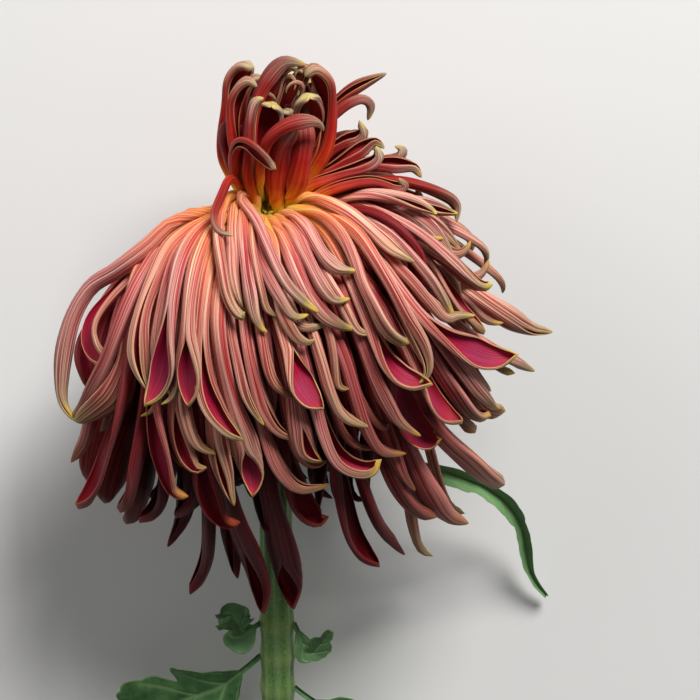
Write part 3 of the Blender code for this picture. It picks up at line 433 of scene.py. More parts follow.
# The hanging florets' own ways, over a skirt whose front lies so far before the axis and which
# reaches so far to each side, at heights from the eye. Each has how far its slot is turned from
# the viewer, spoon, size, the share of its length where its slot starts, how many layers deep it
# lies, how much painted shade it has, and the places where it shows, in millimetres to the right
# of the eye and above it. Each of the three groups becomes a piece.
drapes = {
    "step": 2.6,                    # from one layer to the next
    "rootAngle": 72,
    "lift": 0.12, "liftFrom": 14.0, # rise of the span to the first place, where it is longer
    "gape": 14.0, "skirtBlur": 2,
    "slotPlace": 0.75,              # share of the way down where a slot's facing is measured
    "sideways": 0.35,               # how freely a floret with its own way gives across the view
    "above": (-115, -100, -85, -70, -55, -40, -30, -20, -15, -10, -5, -2, 0, 2, 10),
    "depth": (14, 22, 32, 39, 41, 39, 36, 29, 24, 16.5, 8.5, 4.5, 3, 0, -2),
    "leftReach": (24, 34, 46, 54, 54, 53, 50, 42, 36, 30, 24, 17, 14, 10, 8),
    "rightReach": (24, 36, 52, 58, 60, 67, 68, 62, 59, 56, 51, 47, 42, 30, 20),
    "routes": {"drapesLeft": (
        (180, 0.2, 1.3, 0.9, 0.0, 0.0, ((-5.5, -1), (-11.5, -4), (-18, -5.6), (-23.5, -8.4), (-28, -13),
            (-33, -16.6), (-38, -19.4), (-43.5, -22.2), (-47.5, -28), (-49.8, -35), (-51.2, -42.5),
            (-51.5, -48.8), (-50.2, -52.5), (-47.5, -55.2))),
        (160, 0.3, 1.05, 0.85, 2.0, 0.2, ((-5.5, -0.8), (-12.5, -3.5), (-19.2, -7), (-25, -12.5),
            (-29.2, -19.5), (-32.2, -26.2), (-35.2, -34.5), (-38.2, -42.5), (-41.8, -49), (-45, -53),
            (-48.5, -56.2))),
        (-60, 1.2, 1.15, 0.3, 3.0, 0.1, ((-15.5, -5.5), (-23, -10), (-29.2, -16.2), (-33.5, -21),
            (-38.5, -25), (-42.8, -29.5), (-44.2, -33.8), (-43.2, -37.5), (-40.5, -40), (-37.5, -41.5))),
        (-50, 0.6, 1.2, 0.5, 0.5, 0.0, ((-8, -2.5), (-14.2, -6.5), (-20, -10), (-24.8, -14.2),
            (-28.5, -21), (-31, -27.5), (-32.2, -33.8), (-32.2, -40), (-31, -45), (-28.8, -49))),
        (-60, 0.4, 0.9, 0.8, 1.5, 0.1, ((-9, -3.5), (-16.8, -10), (-22.2, -15.5), (-25, -22.5),
            (-26.5, -30), (-27.2, -37.5), (-26.8, -44.5), (-25, -49.5))),
        (-10, 1.3, 1.15, 0.6, 0.0, 0.0, ((-8.5, -3.5), (-14.8, -8.5), (-18.2, -13), (-20.5, -18),
            (-22, -23.8), (-23.2, -30), (-24.5, -36.2), (-25.5, -42.5), (-27, -48), (-29.2, -52))),
        (60, 0.3, 0.8, 0.8, 1.0, 0.0, ((-8, -4.5), (-14.5, -10), (-17.5, -16.2), (-19.5, -23.8),
            (-20.8, -32.5), (-21.5, -40), (-22, -46.2), (-23, -50.5), (-25, -52.8))),
        (0, 1.4, 1.05, 0.72, 0.3, 0.0, ((-7.5, -4), (-13, -9), (-15.8, -15.5), (-17.5, -22.5),
            (-18.5, -30), (-19, -37.5), (-19.5, -45), (-19.5, -52))),
        (-50, 0.9, 1.15, 0.58, 0.6, 0.0, ((-7, -5), (-12.5, -11), (-14.8, -18.8), (-16.2, -27.5),
            (-16.8, -36.2), (-16.5, -43.8), (-15.5, -49), (-13.2, -54), (-10, -58.2), (-7.2, -60.8))),
        (0, 0.7, 1.25, 0.78, 1.0, 0.1, ((-6.5, -5.5), (-11.8, -12.5), (-13.8, -21.2), (-14.8, -30),
            (-15, -38.8), (-14.5, -47.5), (-14, -56.2), (-13, -64.5), (-11.2, -71), (-9.2, -75.5))),
        (0, 1.5, 1.2, 0.84, 1.0, 0.1, ((-6.2, -6), (-10, -12.5), (-12, -21.2), (-12.8, -30), (-12, -38.8),
            (-10.5, -47.5), (-8.5, -56.2), (-6.5, -63.8), (-5, -69.5), (-5, -73.8))),
        (-100, 0.3, 1.3, 0.88, 1.2, 0.1, ((-9, -5.5), (-15, -13), (-18, -21.2), (-20.2, -30),
            (-21.5, -38.8), (-22.2, -47.5), (-21.2, -55.8), (-18.8, -61.8), (-14.8, -64.5))),
        (-50, 0.9, 1.1, 0.75, 1.8, 0.2, ((-10, -7), (-16.2, -15.5), (-19.8, -25), (-21.5, -35),
            (-22.8, -46.2), (-22.2, -56.2), (-20, -63), (-17.2, -66), (-14.8, -65.5))),
        (80, 0.2, 0.8, 0.8, 1.8, 0.1, ((-11, -6.2), (-17.5, -12.5), (-22, -20), (-24.5, -28.8),
            (-26, -37.5), (-27.2, -46.2), (-28.8, -52.5), (-31.5, -55.5))),
        (-40, 1.4, 1.15, 0.62, 2.4, 0.3, ((-13, -7.5), (-20, -15.5), (-24.5, -25), (-27.2, -36.2),
            (-28.2, -47.5), (-27.8, -57.5), (-26.5, -65.5), (-24, -70.5), (-20.8, -70.8))),
        (-80, 0.5, 1, 0.8, 2.8, 0.4, ((-14.2, -8.8), (-20.5, -18.8), (-23.5, -30), (-25, -42.5),
            (-25.5, -53.8), (-24.8, -61.2), (-22, -65.8))),
        (-10, 2.0, 1.6, 0.36, 3.0, 0.5, ((-16.8, -6.2), (-24.2, -16.2), (-29.2, -26.2), (-33, -36.2),
            (-35.8, -47), (-38.5, -57.5), (-41.2, -67), (-43.8, -75.8))),
        (10, 1.9, 1.6, 0.38, 3.4, 0.6, ((-15.5, -8), (-22.5, -18.8), (-26.5, -31.2), (-28.8, -43.8),
            (-30, -55), (-31.5, -66.2), (-33.2, -77))),
        (-20, 1.4, 1.6, 0.4, 4.0, 0.8, ((-15, -9), (-21.5, -22.5), (-25, -36.2), (-27, -50), (-28, -62.5),
            (-28.5, -73.8), (-30.5, -78.8))),
        (-40, 0.6, 1.4, 0.6, 4.0, 0.85, ((-14.5, -10), (-19.2, -25), (-21.5, -40), (-22.2, -55),
            (-21.5, -67.5), (-22.5, -77.5), (-25.5, -85))),
        (0, 1.2, 1.6, 0.5, 4.2, 0.85, ((-14, -11), (-17.5, -27.5), (-19, -42.5), (-19.5, -57.5),
            (-19.8, -70), (-21.5, -78.8))),
        (-60, 0.6, 1.3, 0.8, 4.0, 0.3, ((-21.8, -8.8), (-29.2, -17.5), (-34.8, -27.5), (-38, -37.5),
            (-41, -47.5), (-43, -55), (-44.2, -61.2), (-45.5, -65.5))),
        (60, 0.6, 1.3, 0.8, 4.2, 0.3, ((-20.5, -8.8), (-28, -18.8), (-32.5, -28.8), (-35.5, -40),
            (-38, -50), (-41, -56.2), (-43.5, -59.5))),
        (50, 1.4, 1.4, 0.55, 3.2, 0.1, ((-19, -10), (-26.8, -16.5), (-30.8, -25), (-33.2, -35),
            (-35, -43), (-37.5, -49), (-42, -52.5), (-47, -56))),
        (-60, 0.5, 1, 0.8, 4.5, 0.4, ((-21.8, -9.5), (-29.2, -17.5), (-35, -26.2), (-38.5, -35),
            (-41.5, -42.5), (-44.2, -48), (-46.2, -51))),
    ), "drapesFront": (
        (170, 0.1, 1.05, 0.92, -0.6, 0.0, ((-3.8, 1), (-7.2, 0.8), (-7.2, -1.8), (-4, -7.5), (-1, -13.8),
            (2.2, -20), (5.8, -24.5), (9.5, -27), (12.8, -28))),
        (-90, 0.2, 1.05, 0.88, 0.0, 0.0, ((-6, 0), (-10, -0.2), (-11.5, -4.2), (-11.8, -10),
            (-11.5, -17.5), (-10.8, -24.5), (-9, -29), (-6.8, -31.5), (-5.2, -30.8))),
        (-80, 0.1, 0.9, 0.92, 0.4, 0.0, ((-5.5, -0.8), (-8.5, -2.5), (-9, -8.8), (-8.5, -15.5),
            (-7.8, -21.2), (-6.5, -26.2), (-4.8, -29.2))),
        (-100, 0.1, 1.05, 0.9, 0.2, 0.0, ((-4.5, -2.8), (-6.8, -3.5), (-7, -10), (-6, -17.5), (-5, -23.8),
            (-3.8, -29.5), (-2.2, -33.2), (-0.5, -34.8))),
        (-60, 0.1, 0.75, 0.8, 0.0, 0.0, ((-3.8, -4.4), (-4.8, -7), (-4.5, -12.5), (-3.2, -18.8),
            (-2, -24.5), (-0.8, -29), (1.2, -31.8))),
        (-90, 0.1, 0.95, 0.92, 0.0, 0.0, ((-2.5, -5.4), (-3, -8.8), (-1.5, -15.5), (0.5, -22), (3, -27),
            (5.8, -31), (9.2, -31.5))),
        (-100, 0.1, 1.1, 0.92, 0.7, 0.0, ((-1.5, -6), (-1, -10), (0, -16.2), (1.5, -23.8), (3.2, -30),
            (6.2, -35.5), (9, -38), (11, -38.2))),
        (-80, 0.2, 0.9, 0.85, 1.2, 0.0, ((-0.5, -5), (1, -12.5), (2.5, -20), (4.2, -26.8), (6.5, -31.5),
            (10, -33), (14.5, -31.5))),
        (-120, 0.1, 1.1, 0.9, 0.6, 0.0, ((-0.5, -5.6), (1, -7.5), (3.5, -12.5), (6, -17), (8.2, -21.2),
            (10.8, -25.8), (14, -30), (17.8, -32.5), (21.5, -33.5))),
        (-90, 0.1, 1, 0.88, 0.0, 0.0, ((1.2, -5.2), (3.5, -7.4), (6, -11), (8.5, -15.8), (11, -20.8),
            (13.5, -24.5), (16.5, -26.8), (20, -26.2))),
        (-90, 0.1, 1, 0.85, -0.3, 0.0, ((3.2, -4.4), (5.5, -6), (8, -9), (10.5, -13.2), (13.5, -16.8),
            (17.5, -19), (22.2, -19))),
        (-70, 0.2, 0.95, 0.8, 0.8, 0.0, ((3, -4.8), (6.5, -7), (9.5, -12), (12.5, -17), (15, -22),
            (17.8, -27), (20, -31.2), (22.8, -34.2), (26.8, -34.8))),
        (-20, 0.9, 1.15, 0.38, 0.2, 0.0, ((5, -3.2), (10.8, -4.5), (15, -8), (18.2, -12), (20.5, -17),
            (22.5, -22.5), (25, -27.5), (27.2, -32), (30, -36), (32.8, -39.2))),
        (-100, 0.2, 1.1, 0.88, -0.2, 0.0, ((6.5, 0), (12, -1.2), (18.2, -5), (23.2, -9), (28.2, -12.5),
            (32.5, -15), (36.2, -16.2))),
        (-90, 0.1, 1, 0.9, 0.6, 0.0, ((7, 0.5), (14.5, -1.2), (22, -5.5), (29.5, -10.5), (35, -15.5),
            (39.5, -20.8), (42.5, -25.5), (45.2, -31))),
        (-20, 1.0, 1.1, 0.82, 0.6, 0.0, ((8, 1), (18.2, -1.5), (27, -5.5), (35.8, -10.2), (42.5, -15),
            (47.5, -19.2), (52, -22.8), (54.8, -23.2))),
        (60, 0.5, 1.1, 0.74, 0.3, 0.0, ((7, -1), (14.5, -5.2), (20.8, -10), (25.8, -15.8), (30.8, -23),
            (34.5, -30), (38, -37), (39.5, -42), (38.8, -45), (37.2, -46.5))),
        (-80, 0.2, 1, 0.85, 1.0, 0.0, ((9, -1), (18.2, -6.2), (25, -12.5), (30, -18), (35, -22.5),
            (39.5, -27), (43.5, -30.5), (47, -30.2), (50.5, -31.2))),
        (-35, 1.5, 1.15, 0.62, 1.0, 0.0, ((7, -2), (17, -8), (25.8, -15.5), (32, -23), (37.5, -29.5),
            (43.2, -34.2), (49, -37.5), (55, -39.5), (61, -39))),
        (-150, 0.3, 1.1, 0.85, 2.0, 0.1, ((14.5, -6.5), (27, -15.5), (39.5, -25.5), (49, -33), (57, -38),
            (62.5, -40.5), (66.5, -41))),
        (-50, 1.3, 1.1, 0.66, 1.0, 0.1, ((7, -3), (14.5, -10), (20, -19.5), (23.5, -28.8), (26, -35.5),
            (29, -41.2), (33.5, -45.2), (39.8, -47))),
        (-120, 0.6, 1.15, 0.8, 2.4, 0.1, ((12, -5.5), (19.5, -10), (28.2, -17.5), (35.8, -27.5),
            (41.5, -36.2), (46.5, -43), (50.8, -48), (54, -50.8), (56.5, -52))),
        (10, 1.5, 1.15, 0.34, 2.0, 0.1, ((17, -2), (27, -5.5), (34, -10), (39.5, -15.5), (43.8, -22),
            (47.2, -27.5), (49.5, -31.2), (50.2, -34.5))),
        (-80, 0.3, 1, 0.85, 2.0, 0.1, ((8.2, 0.5), (17, -0.8), (24.5, -3.8), (32, -7.5), (38.2, -10.8),
            (42.2, -10.8))),
        (-60, 0.5, 1, 0.8, 3.0, 0.2, ((12, 0), (18.2, -1.5), (28.2, -5.5), (38.2, -10.8), (44.5, -14),
            (48.2, -13.2), (49.8, -10.8))),
        (-60, 0.5, 1.05, 0.8, 3.6, 0.2, ((14.5, -2), (22, -5.5), (32, -10.8), (40.8, -15), (47.5, -18.8),
            (52, -18), (54, -14.8))),
    ), "drapesLow": (
        (-60, 0.4, 0.9, 0.78, 1.0, 0.1, ((-5.5, -6.5), (-9, -15.5), (-10.5, -25), (-10, -33.8),
            (-8.5, -41.2), (-6.5, -48), (-4.2, -53), (-2, -56.8))),
        (-60, 0.5, 0.95, 0.78, 1.5, 0.2, ((-5, -7), (-5.5, -16.2), (-4.8, -25), (-3.2, -33.8),
            (-1.5, -40.5), (0.8, -46.2), (4.2, -50.8))),
        (-60, 0.6, 1.1, 0.74, 1.8, 0.2, ((-5.5, -7.5), (-6.8, -17.5), (-6.5, -27.5), (-5.5, -36.2),
            (-4, -45), (-2, -52.5), (1.5, -58.2), (6.5, -61.2))),
        (-100, 0.4, 1.3, 0.8, 2.2, 0.2, ((-5.5, -8), (-7.5, -20), (-6.5, -32.5), (-4.5, -43.8),
            (-2.5, -53.8), (-0.8, -61.2), (2.2, -67.5), (7, -72), (14, -72.5))),
        (-10, 1.6, 1.15, 0.70, 0.9, 0.0, ((-2.5, -6.5), (-1, -15), (1.2, -23.8), (3.5, -32.5), (6, -40),
            (8.2, -46.2), (10.5, -50.2), (13, -53.2))),
        (-70, 0.4, 1.1, 0.85, 1.0, 0.0, ((0.8, -6.5), (4, -15.5), (7, -25), (9.8, -33.8), (12.5, -41.2),
            (14.8, -48), (17.2, -53), (20.2, -56), (23.8, -58.5))),
        (-60, 0.3, 0.85, 0.8, 1.4, 0.1, ((4.5, -10), (9, -20), (12.5, -28.8), (15.2, -36.2), (16.2, -43),
            (17, -48), (19.8, -49.2))),
        (-30, 0.8, 1.2, 0.82, 2.0, 0.2, ((-2.5, -8.8), (-1, -20), (1.5, -31.2), (4, -41.2), (6, -50),
            (7.5, -57.5), (9.2, -63.2), (12.5, -65.5))),
        (-100, 0.4, 1.1, 0.85, 2.6, 0.3, ((-4, -10), (-2.5, -25), (0, -37.5), (2.5, -50), (5, -60),
            (7.8, -65), (11, -67), (14.2, -66.5))),
        (-55, 0.9, 1.4, 0.6, 1.8, 0.1, ((-0.5, -8.8), (2, -20), (5, -31.2), (7.5, -41.2), (10, -50),
            (12.5, -57.5), (16, -63.8), (20.8, -67), (25, -67.8), (28.5, -66.5))),
        (-90, 0.3, 1.1, 0.85, 2.0, 0.3, ((3.2, -8.8), (9, -20), (14, -30), (18, -40), (21, -48.8),
            (24, -56.8), (27.8, -62.5), (33.5, -64.8))),
        (-80, 0.4, 1.15, 0.85, 1.6, 0.2, ((7, -8.8), (13.2, -17.5), (19, -27.5), (23, -36.2),
            (26.5, -44.5), (29.5, -50.5), (33, -55.2), (37.8, -59))),
        (-60, 0.4, 0.9, 0.8, 2.4, 0.3, ((5, -9.5), (11.5, -21.2), (16.5, -32.5), (19.5, -41.2),
            (21.5, -48.8), (25, -55), (28.5, -58.5), (30.2, -57.5))),
        (20, 2.0, 1.4, 0.6, 2.2, 0.2, ((12, -11.2), (20, -22.5), (26, -32.5), (30, -41.2), (33, -48.8),
            (36, -55), (39.5, -59.5), (42.2, -59.5))),
        (10, 1.6, 1.4, 0.6, 2.8, 0.2, ((18.2, -15), (25.8, -25), (31.5, -35), (36, -43), (39.5, -48.8),
            (42.2, -53), (44.5, -56))),
        (-20, 1.2, 1.4, 0.6, 3.2, 0.2, ((22, -15.5), (30.8, -26.2), (37.5, -36.2), (42, -43.8),
            (45.8, -49.5), (49, -53.5), (52, -55.2))),
        (-30, 1.2, 1.4, 0.6, 3.8, 0.2, ((27, -17.5), (35.8, -28.8), (42, -38.8), (47, -46.2), (51.5, -52),
            (56.8, -55.2))),
        (-40, 0.8, 1.8, 0.7, 4.0, 0.2, ((22, -20), (30.8, -35), (37, -47.5), (42.8, -57), (49, -63.8),
            (53.8, -68.5), (56.8, -71.5))),
        (-90, 0.6, 1.7, 0.75, 3.5, 0.3, ((17, -22.5), (25, -40), (30, -53.8), (34, -65), (37.5, -72.5),
            (42, -78), (47.5, -82.5))),
        (-90, 0.5, 1.2, 0.75, 3.0, 0.4, ((14.5, -22.5), (22.5, -40), (27.5, -53.8), (31, -63.8),
            (33.5, -69.5), (35.5, -73))),
        (-60, 0.8, 1.4, 0.7, 3.8, 0.4, ((13.2, -25), (20.8, -42.5), (26.5, -57.5), (31, -68.8),
            (35.8, -75.5), (41.2, -79))),
        (-20, 1.3, 1.4, 0.6, 3.4, 0.8, ((7, -25), (10.8, -40), (13.2, -52.5), (15.8, -62.5),
            (17.5, -72.5), (19.5, -81.2), (22, -87), (25, -90.8))),
        (-60, 0.5, 1.2, 0.75, 4.0, 0.8, ((12, -30), (15.8, -45), (19, -57.5), (21.5, -68.8),
            (24.5, -77.5), (28, -83.8), (30.2, -89))),
        (0, 1.2, 1.5, 0.86, 4.0, 0.9, ((-3.5, -25), (-2.5, -40), (-2.5, -55), (-1.8, -67.5), (0, -77.5),
            (2, -87), (4, -94.2), (5.8, -99))),
        (-20, 0.9, 1.5, 0.8, 4.0, 0.85, ((-9.2, -25), (-11.5, -40), (-12.5, -55), (-12.5, -67.5),
            (-10.5, -77.5), (-7.2, -85.8), (-4.2, -93.8), (-2, -100.5))),
        (20, 0.8, 1.4, 0.75, 4.2, 0.9, ((-13, -25), (-16.8, -40), (-18, -55), (-17.5, -67.5),
            (-16.2, -77.5), (-16.2, -87), (-17.8, -97))),
        (-40, 0.7, 1.3, 0.75, 4.5, 0.9, ((-11, -25), (-14, -40), (-14.5, -57.5), (-14, -70), (-12, -80),
            (-10, -87.5), (-8, -92.5))),
        (-40, 1.1, 1.3, 0.7, 3.0, 0.6, ((-14.2, -25), (-17.5, -37.5), (-18.5, -50), (-18.2, -60),
            (-17.2, -68.8), (-15.2, -75), (-12.2, -77.8), (-8.8, -77))),
        (-50, 1.1, 1.3, 0.7, 3.4, 0.6, ((-2.5, -32.5), (0, -47.5), (2.5, -60), (5, -70), (7.8, -76.2),
            (11.2, -79.2), (14, -78.2))),
        (-60, 0.4, 0.8, 0.8, 2.2, 0.3, ((4.5, -22.5), (8.5, -35), (11.5, -45), (14, -52.5), (17, -59),
            (21, -62.8), (25.5, -64))),
        (150, 0.4, 1.5, 0.85, 5.0, 0.0, ((27, -8), (40, -16), (50, -23), (58, -28), (64, -31),
            (69.3, -31.5))),
        (-80, 0.2, 1.2, 0.85, 2.2, 0.0, ((9, 1.5), (18, 1.2), (27, -1.5), (35, -5.5), (41, -10.5),
            (45.5, -16.5))),
        (-60, 0.3, 1.2, 0.85, 3.0, 0.1, ((10, 2), (20, 2), (29, 0), (37, -4), (43, -8.5), (47, -13))),
        (-100, 0.2, 1.2, 0.9, 2.6, 0.1, ((11, 0), (21, -2.5), (30, -7), (38, -13), (44, -19.5),
            (48.5, -26))),
        (170, 0.2, 1.2, 0.9, 3.0, 0.2, ((12, -3), (22, -7.5), (32, -14), (40, -21.5), (46.5, -29),
            (52, -36))),
        (-80, 0.4, 1.3, 0.8, 3.5, 0.2, ((14, -9), (24, -18), (33, -27), (41, -36), (48, -44), (54, -49))),
        (10, 1.4, 1.4, 0.5, 3.5, 0.2, ((18, -12), (27, -24), (35, -35), (42, -45), (48, -53), (51, -58))),
        (10, 1.6, 1.7, 0.35, 4.6, 0.65, ((-20, -15), (-27, -28), (-32, -42), (-36, -56), (-38.5, -68),
            (-40, -76))),
        (0, 1.6, 1.7, 0.35, 5.0, 0.7, ((-19, -18), (-25, -32), (-29, -46), (-32, -60), (-34.5, -72),
            (-35.5, -80))),
        (-10, 1.4, 1.6, 0.4, 5.2, 0.7, ((-17, -20), (-22, -36), (-25.5, -52), (-28, -66), (-30, -76))),
        (20, 1.4, 1.6, 0.35, 4.8, 0.6, ((-22, -14), (-30, -26), (-36, -38), (-40, -50), (-42.5, -62),
            (-44, -72))),
        (0, 1.6, 1.9, 0.3, 4.4, 0.6, ((-20, -10), (-32, -18), (-39, -26), (-41.5, -34), (-41, -43),
            (-39, -51))),
    )},
}
# Florets placed by a rule: count, first and last bearing round the flower (90 is the front),
# angle of the root from the axis, reach of the tips, their drop, and how far the line arches.
# A row's painted shade is how much darker its florets are painted, for the shadow that they lie in.
ruleRows = {
    "crownBack": {"rule": (7, 272, 345, 64, (36, 44), (8, 22), 1.1), "paintedShade": 0.0},
    "lowBack": {"rule": (9, 192, 268, 92, (34, 42), (34, 48), 0.8), "paintedShade": 0.3},
    "middleBack": {"rule": (9, 262, 350, 72, (40, 48), (24, 44), 1.1), "paintedShade": 0.1},
    "skirtBack": {"rule": (12, 186, 354, 90, (36, 44), (46, 66), 1.0), "paintedShade": 0.4},
    "hemBack": {"rule": (10, 180, 360, 98, (26, 36), (64, 88), 1.05), "paintedShade": 0.7},
    "fillTop": {"rule": (12, 12, 150, 78, (23, 28), (18, 36), 0.8), "paintedShade": 0.4},
    "fillMiddle": {"rule": (16, 12, 160, 84, (26, 32), (40, 60), 1.0), "paintedShade": 0.4},
    "fillLow": {"rule": (12, 8, 172, 92, (20, 29), (58, 82), 1.0), "paintedShade": 0.85},
}
# Florets that only the scene has, deep in the skirt, placed by the same rule
innerRows = {
    "innerFront": {"rule": (22, 4, 176, 96, (12, 22), (52, 80), 0.9), "paintedShade": 0.9},
    "innerBack": {"rule": (12, 190, 350, 98, (12, 24), (50, 74), 0.9), "paintedShade": 0.9},
    "hemFront": {"rule": (12, 12, 180, 98, (18, 28), (60, 82), 0.95), "paintedShade": 0.9},
    "fillRight": {"rule": (8, -24, 34, 76, (34, 44), (14, 40), 1.0), "paintedShade": 0.55},
    "fillLeft": {"rule": (10, 146, 206, 92, (24, 33), (40, 68), 0.85), "paintedShade": 0.8},
    "tuftBack": {"rule": (10, 190, 350, 22, (2, 7), (-27, -17), 0.8), "paintedShade": 0.3},
    "threads": {"rule": (18, 8, 172, 70, (30, 37), (20, 60), 1.1), "paintedShade": 0.2},
}
# And the small curled florets at the top of the tuft, whose tips are given
lateRows = {
    "curls": {"rootAngle": 22, "sag": 0.0, "arch": 0.8, "paintedShade": 0.0, "tips": (
        (3.2, 28.6, 0.0, -100, 20, 170, 0.0), (5.2, 29.8, 0.5, -110, 60, 190, 0.0),
        (6.6, 27.2, 1.0, -100, -40, 180, 0.0), (4.4, 25.4, 1.5, -120, 80, 200, 0.0),
        (7.4, 24.4, 1.0, -90, 10, 170, 0.0), (2.6, 24.0, 1.0, -120, -60, 160, 0.0))},
}
# How the rows look: where along a floret its slot starts, and how many degrees each rim
# stands back from where it is in a closed quill
rowLooks = {
    "right": ((0.62, 0.86), 24), "tuft": ((0.30, 0.50), 32), "rayed": ((0.25, 0.45), 26),
    "folded": ((0.55, 0.70), 26), "crownBack": ((0.62, 0.85), 22), "lowBack": ((0.62, 0.85), 22),
    "middleBack": ((0.62, 0.85), 22), "skirtBack": ((0.55, 0.80), 28), "hemBack": ((0.45, 0.75), 40),
    "fillTop": ((0.72, 0.90), 18), "fillMiddle": ((0.66, 0.86), 24), "fillLow": ((0.50, 0.80), 36),
    "innerFront": ((0.40, 0.70), 44), "innerBack": ((0.40, 0.70), 44), "hemFront": ((0.40, 0.70), 44),
    "fillRight": ((0.60, 0.85), 26), "fillLeft": ((0.40, 0.70), 44),
    "tuftBack": ((0.25, 0.45), 56), "curls": ((0.50, 0.60), 50), "threads": ((0.72, 0.90), 18),
}
freshRows = ("tuft", "tuftBack", "rayed", "folded")
broadRows = {"curls": 0.5, "tuftBack": 1.25, "innerFront": 1.4, "innerBack": 1.3, "hemFront": 1.5,
             "fillLow": 1.3, "fillLeft": 1.4}
lowRows = ("fillTop",)              # these leave the eye lower
growth = {
    "seed": 11, "lookSeed": 5,
    "rootSpread": 6.0, "turnSpread": 14.0,      # degrees that roots and bearings vary by
    "stepSpread": 0.4,              # and the steps of a rule, as a share of a step
    "rolls": (-70, 90), "hooks": (30, 100), "spoons": (0.1, 0.9), "sag": 0.85,
    "heartAngle": 40,               # rows that start nearer the axis than this stand straight
    "coreCentre": (0.0, 0.0, -5.0), "rootSize": (5.0, 5.0, 3.6), "coreFloor": -9.3,
    "hookLength": 9.0, "hookPoints": 12, "curvePoints": 48, "tipRounds": 6,
    "stations": 30,                 # points of a floret's line
    "knotPoints": 12,               # points of a curve for each place that it goes through
    "level": 0.4,                   # how steeply the low rows leave, against the others
    "pushRounds": 40, "pushLimit": 0.9, "pushShare": 0.6, "pushBlur": 3, "clearBlur": 2,
    "smoothRounds": 30, "heldLength": 3.0, "easingLength": 12.0,
    "floorLine": 1.7, "mostRise": 3.0,
    "rollStart": 0.3, "rollSpan": 0.5,
    "involucreRadius": 9.8, "involucreRoom": 2.6, "involucreBottom": -17.0,
    "stemRoom": 4.5, "leafClearance": 7.5, "leafShare": 0.5,
    # how much a floret's gape and its painted shade vary
    "gapeSpread": (0.7, 1.25), "paintedShadeSpread": (-0.1, 0.15),
}
quill = {
    "root": 1.5, "width": 3.6, "beak": 0.8, "depth": 2.3,
    "start": 0.36, "spoonPlace": 0.83, "spoonSpread": 0.12, "spoonGain": 2.0, "beakStart": 0.86,
}
# Painted shade deep in the skirt: bearings and heights that its reach is measured in, from the
# top down, the percentile that counts as its reach, and how deep the painted shade starts and is full
shading = {
    "bearings": 24, "heights": 40, "heightStep": 5.0, "top": 20.0,
    "percentile": 85, "fewest": 3, "depths": (3.5, 15.0), "below": (-3.0, -14.0),
}


def rootDirections(angle, bearing):
    # outward from the receptacle: sin(angle) away from the axis and cos(angle) along it
    a, b = np.radians(angle), np.radians(bearing)
    return np.stack([np.sin(a) * np.cos(b), np.sin(a) * np.sin(b), np.cos(a)], -1)


def handPlan(name, row, draw):
    # one row of florets whose tips are given: row, root direction, tip, sag, arch, roll, hook, spoon
    tips = np.array(row["tips"])
    count = len(tips)
    tip = seenAt(*tips[:, :3].T)
    bearing = np.degrees(np.arctan2(tip[:, 1], tip[:, 0])) + tips[:, 3]
    angle = row["rootAngle"] + draw.uniform(-growth["rootSpread"], growth["rootSpread"], count)
    return (np.full(count, name), rootDirections(angle, bearing), tip, np.full(count, row["sag"]),
            np.full(count, row["arch"]), -tips[:, 4], tips[:, 5], tips[:, 6])


def rulePlan(name, row, draw):
    # the same for a row that goes round the flower in nearly even steps
    count, first, last, rootAngle, reach, drop, arch = row["rule"]
    step = (last - first) / count
    place = np.arange(count) + 0.5 + draw.uniform(-growth["stepSpread"], growth["stepSpread"], count)
    bearing = first + step * place
    radius = draw.uniform(*reach, count)
    tip = np.stack([radius * np.cos(np.radians(bearing)), radius * np.sin(np.radians(bearing)),
                    -draw.uniform(*drop, count)], -1)
    rootBearing = bearing + draw.uniform(-growth["turnSpread"], growth["turnSpread"], count)
    angle = rootAngle + draw.uniform(-growth["rootSpread"], growth["rootSpread"], count)
    sag = growth["sag"] if rootAngle > growth["heartAngle"] else 0.0
    return (np.full(count, name), rootDirections(angle, rootBearing), tip, np.full(count, sag),
            np.full(count, arch), -draw.uniform(*growth["rolls"], count),
            draw.uniform(*growth["hooks"], count), draw.uniform(*growth["spoons"], count))


def floretPlan():
    # all the rows whose florets are grown, one after another
    draw = np.random.default_rng(growth["seed"])
    plan = [handPlan(name, row, draw) for name, row in handRows.items()]
    plan += [rulePlan(name, row, draw) for name, row in {**ruleRows, **innerRows}.items()]
    plan += [handPlan(name, row, draw) for name, row in lateRows.items()]
    return [np.concatenate(column) for column in zip(*plan)]


def wayThrough(knots):
    # one smooth line through the knots, with its points at equal steps
    smooth = splineThrough(knots[None], growth["knotPoints"] * len(knots))
    return evenLine(smooth, growth["stations"])


def levelled(direction, line):
    # a direction less what of it runs along the start of the line
    ahead = unit(line[1] - line[0])
    return unit(direction - ahead * (ahead @ direction))


def routePlan():
    # the upright florets' rows, lines, the normals that face the viewer, turns, spoons and sizes
    found = []
    for name, row in routeRows.items():
        for turn, spoon, size, places in row["routes"]:
            route = wayThrough(seenAt(*np.array(places).T))[0]
            toward = levelled(np.array([0.0, 1.0, 0.0]), route)
            found.append((name, route, toward, float(turn), spoon, size))
    return [np.array(column) for column in zip(*found)]


def skirtDepth(right, above):
    # the skirt's front: depth there times the root of 1 - (the share of its reach to the side)^2.2
    heights = drapes["above"]
    reach = np.where(right < 0, np.interp(above, heights, drapes["leftReach"]),
                     np.interp(above, heights, drapes["rightReach"]))
    across = np.clip(np.abs(right) / reach, 0.0, 1.0)
    return np.interp(above, heights, drapes["depth"]) * np.sqrt(1.0 - across ** 2.2)


